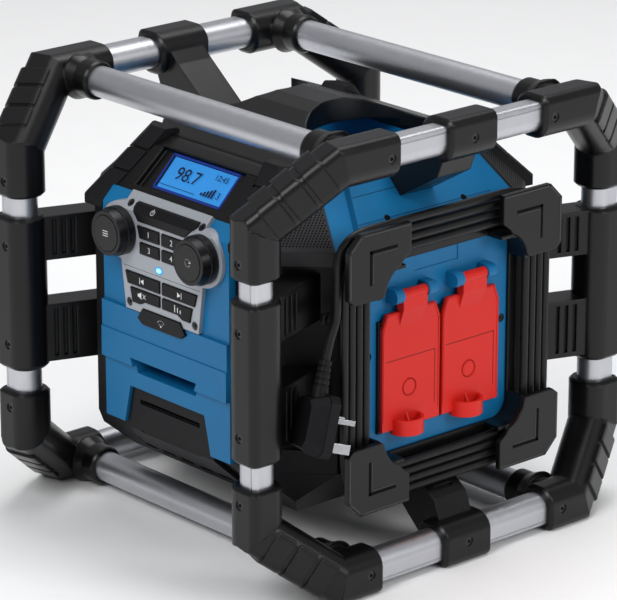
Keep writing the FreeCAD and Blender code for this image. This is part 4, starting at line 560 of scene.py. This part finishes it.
def winding_points():
    signs = ((-1, -1), (1, -1), (1, 1), (-1, 1))
    last = 4 * CORD_TURNS - 1
    points = [(CORD_X, lane_line(0), GLAND_Z)]
    for quarter in range(last + 1):
        sy, sz = signs[quarter % 4]
        radius = DRUM_CORNER_R + (lane(quarter) + lane(quarter + 1)) / 2
        if quarter == last:
            radius = CORD_LEAVE_R
        y, z = lane_line(quarter), lane_line(quarter + 1)
        if quarter % 2:
            y, z = z, y
        side = (CORD_X, y, z - sz * 2 * radius)
        level = (CORD_X, y - sy * 2 * radius, z)
        first, second = (level, side) if quarter % 2 else (side, level)
        points += [first, (CORD_X, y, z), second]
    return points[:-1]


def plug_up():
    """The direction from the plug's pins to its boot."""
    pins = PLUG_PINS_TO.normalized()
    up = (Vector((0, 0, 1)) - pins * pins.z).normalized()
    side = pins.cross(up)
    return up * math.cos(PLUG_LEAN) - side * math.sin(PLUG_LEAN)


def make_cord():
    """Four turns on the drum, then a short drop into the plug's boot."""
    up = plug_up()
    tip = PLUG_MIDDLE + up * (PLUG_HEIGHT / 2 + BOOT_LENGTH)
    route = winding_points() + TAIL_DROP + [tuple(tip + up * BOOT_APPROACH), tuple(tip)]
    curve = bpy.data.curves.new("mains_cord", "CURVE")
    curve.dimensions = "3D"
    curve.bevel_depth = CORD_D / 2
    curve.bevel_resolution = 4
    spline = curve.splines.new("NURBS")
    spline.points.add(len(route) - 1)
    for point, (x, y, z) in zip(spline.points, route):
        point.co = (x, y, z + HALF_HEIGHT, 1.0)
    spline.order_u = 3
    spline.use_endpoint_u = True
    spline.resolution_u = 10
    curve.materials.append(FINISHES["cord"].material)
    piece = put("mains_cord", curve)
    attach(piece, "radio")
    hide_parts("cord_winding", "cord_tail")
    x, y, z = route[0]
    z + HALF_HEIGHT


# Front: keypad print, knobs, display, drawn in millimetres

NUMBERED_KEYS = {"preset_key_1": (-14.5, 75), "preset_key_2": (14.5, 75),
                 "preset_key_3": (-14, 61.7), "preset_key_4": (14, 61.7)}


def skip_symbol(side):
    """A triangle that points outwards, with a bar at its tip."""
    x, z, half = side * 25.4, 33.5, 2.3
    base = x - side * 4.0
    bar = stroke([(x + side, z - half), (x + side, z + half)], SEAM_LINE)
    return [[(x, z), (base, z - half), (base, z + half)]] + bar


def mute_symbol():
    """A loudspeaker beside a cross."""
    horn = [(-29, 19.6), (-27, 19.6), (-24.5, 17.9), (-24.5, 24.1), (-27, 22.4), (-29, 22.4)]
    falling = stroke([(-22.5, 22.6), (-19.3, 19.4)], SYMBOL_LINE)
    rising = stroke([(-22.5, 19.4), (-19.3, 22.6)], SYMBOL_LINE)
    return [horn] + rising + falling


def tone_symbol():
    """Three bars of falling height."""
    bars = []
    for x, top in ((18, 23.6), (21.5, 22.2), (25, 20.8)):
        bars += stroke([(x, 18.6), (x, top)], TONE_LINE)
    return bars


def pairing_symbol():
    """A dot under two arcs."""
    inner = stroke(arc(0, 0.6, 2.6, 40, 140, 8), SYMBOL_LINE)
    outer = stroke(arc(0, 0.6, 5.2, 40, 140, 10), SYMBOL_LINE)
    return inner + outer + [arc(0, 0.9, 0.9, 0, 330, 10)]


def power_symbol():
    """An open ring with a bar in its gap."""
    x, z = -12, -1.1
    return stroke(arc(x, z, 2.2, 125, 415, 16), SYMBOL_LINE) + stroke([(x, z), (x, 2.0)], SYMBOL_LINE)


def menu_symbol(x, z):
    """Three level lines."""
    lines = []
    for rise in (-2.0, 0.0, 2.0):
        lines += stroke([(x - 3, z + rise), (x + 3, z + rise)], SEAM_LINE)
    return lines


def source_symbol(x, z):
    """An open ring that ends in an arrowhead."""
    head = [(x + 4.2, z + 0.2), (x + 1.4, z + 0.2), (x + 2.8, z + 2.6)]
    return stroke(arc(x, z, 3.0, 20, 320, 18), SEAM_LINE) + [head]


def print_keys():
    for number, (key, middle) in enumerate(NUMBERED_KEYS.items(), 1):
        digits(key + "_number", str(number), 0.0070, FRONT, middle, KEY_LEVEL, PRINT, key)
    symbols = {"previous_key": skip_symbol(-1), "next_key": skip_symbol(1),
               "mute_key": mute_symbol(), "tone_key": tone_symbol(),
               "pairing_key": pairing_symbol()}
    for key, outlines in symbols.items():
        add(key + "_mark", printed(outlines, FRONT, KEY_LEVEL), PRINT, key)
    add("power_key_mark", printed(power_symbol(), FRONT_SLOPE, KEY_LEVEL), PRINT, "power_key")


def dress_plate():
    """The status lamp with its glow, and a darker line of painted shade along the crease above the
    lower keys.
    """
    x, z = -3, 47.5
    crease = stroke([(-48, 42.6), (48, 42.6)], CREASE_LINE)
    add("lamp_halo", printed([disc(x, z, 5.6, 0.6)], FRONT, PLATE_LEVEL), HALO)
    add("status_lamp", slab([disc(x, z, 3.0, 0.63)], FRONT, PLATE_LEVEL, LAMP_LEVEL), LAMP)
    add("plate_crease_shade", printed(crease, FRONT, PLATE_LEVEL), CREASE_SHADE)


def dress_knobs():
    """A pale line of painted highlight round each knob's rim and a plain symbol on its button."""
    for side, body in ((-1, "volume_knob"), (1, "tuning_knob")):
        low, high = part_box(body)
        reach = (high[0] - low[0]) * 1000 / 2 - KNOB_RIM
        ring = stroke(arc(side * KNOB_X, KNOB_Z, reach, 0, 360, 64), FINE_LINE)
        add(body + "_line", printed(ring, FRONT, -BODY_Y - low[1]), PAINTED_EDGE_HIGHLIGHT, body)
    for body, mark in (("menu_button", menu_symbol(-KNOB_X, KNOB_Z)),
                       ("source_button", source_symbol(KNOB_X, KNOB_Z))):
        low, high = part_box(body)
        add(body + "_mark", printed(mark, FRONT, -BODY_Y - low[1]), PRINT, body)


DISPLAY_FIGURES = {
    "frequency": ("98.7", 0.017, (-12, 41.5)),
    "clock": ("12:45", 0.0075, (25, 48.5)),
    "preset": ("3", 0.0085, (32, 33.5)),
}
SIGNAL_BARS = 5


def panel_outline(half, foot, head):
    return [(-half, foot), (half, foot), (half, head), (-half, head)]


def dress_display():
    """Backlight behind the window, its spill on the surround, and made-up figures."""
    glow = [panel_outline(39.5, 26.1, 55.5)]
    glow = slab(glow, FRONT_SLOPE, GLOW_LEVEL, GLOW_LEVEL + GLOW_DEPTH)
    add("display_glow", glow, BACKLIGHT)
    rim = panel_outline(41.2, 24.3, 56.6)
    spill = stroke(rim + rim[:1], SPILL_LINE)
    add("display_spill", printed(spill, FRONT_SLOPE, BEZEL_WELL_LEVEL), SPILL)
    for name, (text, size, middle) in DISPLAY_FIGURES.items():
        digits("display_" + name, text, size, FRONT_SLOPE, middle, DISPLAY_LEVEL, DARK_PIXEL)
    bars = stroke([(-37, 29), (6, 29)], FINE_LINE)
    for index in range(SIGNAL_BARS):
        left = 12 + index * 3.2
        right = left + 2.2
        top = 32.5 + index * 1.5
        bars.append([(left, 30), (right, 30), (right, top), (left, top)])
    add("display_bars", printed(bars, FRONT_SLOPE, DISPLAY_LEVEL), DARK_PIXEL)


def dress_slopes():
    """Coloured edge above the display, and the seams of the sloping skins, with their screw pockets as
    discs of painted shade.
    """
    edge = stroke([(-50, 59.3), (50, 59.3)], EDGE_LINE)
    edge = slab(edge, FRONT_SLOPE, 0.0, BEZEL_EDGE_LEVEL)
    add("bezel_edge", edge, FINISHES["blue"])
    pockets = [disc(side * 44, 65.0, 2.6) for side in (-1, 1)]
    add("roof_screw_pockets", printed(pockets, FRONT_SLOPE, 0.0), HOLLOW_SHADE)
    seams = stroke([(-64, 40.3), (64, 40.3)], SEAM_LINE) + stroke([(-72, 16.2), (72, 16.2)], SEAM_LINE)
    add("slope_seams", printed(seams, RIGHT_SLOPE, OUTLET_LEVEL), SEAM)
    pockets = [disc(side * 42, 16.2, 2.9) for side in (-1, 1)]
    pockets = slab(pockets, RIGHT_SLOPE, OUTLET_LEVEL, OUTLET_LEVEL + 2 * HAIR)
    add("slope_pockets", pockets, HOLLOW_SHADE)


# Right side: outlet covers and the holder's flaps, drawn in millimetres

COVER_MIDDLE = 33.0
COVER_RIM = [(-30.2, -62), (-30.2, 14), (-25.6, 26.6), (25.6, 26.6), (30.2, 14), (30.2, -62)]
COVER_FOLD = [(-27, -12), (26, -12), (26, -58)]
FLAP_MIRROR = -18.5
FLAP_GROOVE = [(94, 66), (94, 92), (67, 92)]
# Lines of painted highlight along each flap's groove and along its outline
FLAP_GROOVE_HIGHLIGHT = [(91.6, 66), (91.6, 89.6), (67, 89.6)]
FLAP_OUTLINE_HIGHLIGHT = [(52.5, 106.8), (103.2, 106.8), (115.4, 95.0), (115.4, 58)]


def dress_covers():
    """A folded line of painted shade, a ring and a raised rim on each outlet cover."""
    for side, body in ((-1, "socket_cover_a"), (1, "socket_cover_b")):
        middle = side * COVER_MIDDLE
        fold = stroke([(middle + y, z) for y, z in COVER_FOLD], GROOVE_LINE)
        add(body + "_line", printed(fold, RIGHT, COVER_LEVEL), RED_GROOVE_SHADE, body)
        ring = stroke(arc(middle - 2, -38, 7.0, 0, 360, 40), RING_LINE)
        ring = slab(ring, RIGHT, COVER_LEVEL - SINK, COVER_LEVEL + RING_RISE)
        add(body + "_ring", ring, FINISHES["cover"], body, SOFT_EDGE)
        rim = stroke([(middle + y, z) for y, z in COVER_RIM], EDGE_LINE)
        rim = slab(rim, RIGHT, COVER_LEVEL - SINK, COVER_LEVEL + RIM_RISE)
        add(body + "_rim", rim, FINISHES["cover"], body, SOFT_EDGE)


def on_flap(points, side, lower):
    """Points of the upper right flap, mirrored to one of the four."""
    return [(side * y, FLAP_MIRROR - z if lower else z) for y, z in points]


def dress_flaps():
    """An angled groove filled with painted shade and edged with painted highlight on each flap, and a
    painted highlight along its outline.
    """
    grooves = []
    edges = []
    for side in (-1, 1):
        for lower in (False, True):
            grooves += stroke(on_flap(FLAP_GROOVE, side, lower), FLAP_GROOVE_LINE)
            edges += stroke(on_flap(FLAP_GROOVE_HIGHLIGHT, side, lower), SEAM_LINE)
            edges += stroke(on_flap(FLAP_OUTLINE_HIGHLIGHT, side, lower), EDGE_LINE)
    add("flap_grooves", printed(grooves, RIGHT, FLAP_LEVEL), HOLLOW_SHADE)
    add("flap_edge_highlights", slab(edges, RIGHT, FLAP_LEVEL - SINK, FLAP_LEVEL + SINK), PAINTED_EDGE_HIGHLIGHT)


# Studio

LIGHTS = {
    "key_light": ((0.6, -2.6, 2.6), 1.6, 62),
    "side_light": ((3.0, 0.6, 1.8), 1.4, 42),
    "top_light": ((-0.4, 0.8, 3.0), 2.0, 55),
}
LIGHTS_AIM = Vector((0, 0, 0.2))
SKY_COLOUR = (0.96, 0.97, 1.0, 1.0)
SKY_STRENGTH = 0.34
FLOOR_HALF = 6.0


def make_lights():
    for name, (place, size, power) in LIGHTS.items():
        data = bpy.data.lights.new(name, "AREA")
        data.size = size
        data.energy = power
        lamp = put(name, data)
        lamp.location = place
        lamp.rotation_euler = (LIGHTS_AIM - Vector(place)).to_track_quat("-Z", "Y").to_euler()


def make_sky():
    sky = bpy.data.worlds.new("studio")
    sky.use_nodes = True
    background = sky.node_tree.nodes["Background"]
    background.inputs["Color"].default_value = SKY_COLOUR
    background.inputs["Strength"].default_value = SKY_STRENGTH
    bpy.context.scene.world = sky


def make_floor():
    mesh = bpy.data.meshes.new("floor")
    corners = [(x * FLOOR_HALF, y * FLOOR_HALF, 0) for x, y in ((-1, -1), (1, -1), (1, 1), (-1, 1))]
    mesh.from_pydata(corners, [], [(0, 1, 2, 3)])
    paper = moulded("floor_paper", (0.86, 0.86, 0.86), 0.9, wear=0.02, shine=0.5)
    mesh.materials.append(paper.material)
    put("floor", mesh)


make_camera()
make_cord()
dress_solids()
make_pegs()
print_keys()
dress_plate()
dress_knobs()
dress_display()
dress_slopes()
dress_covers()
dress_flaps()
bpy.context.scene.view_settings.view_transform = "Standard"
make_sky()
make_lights()
make_floor()
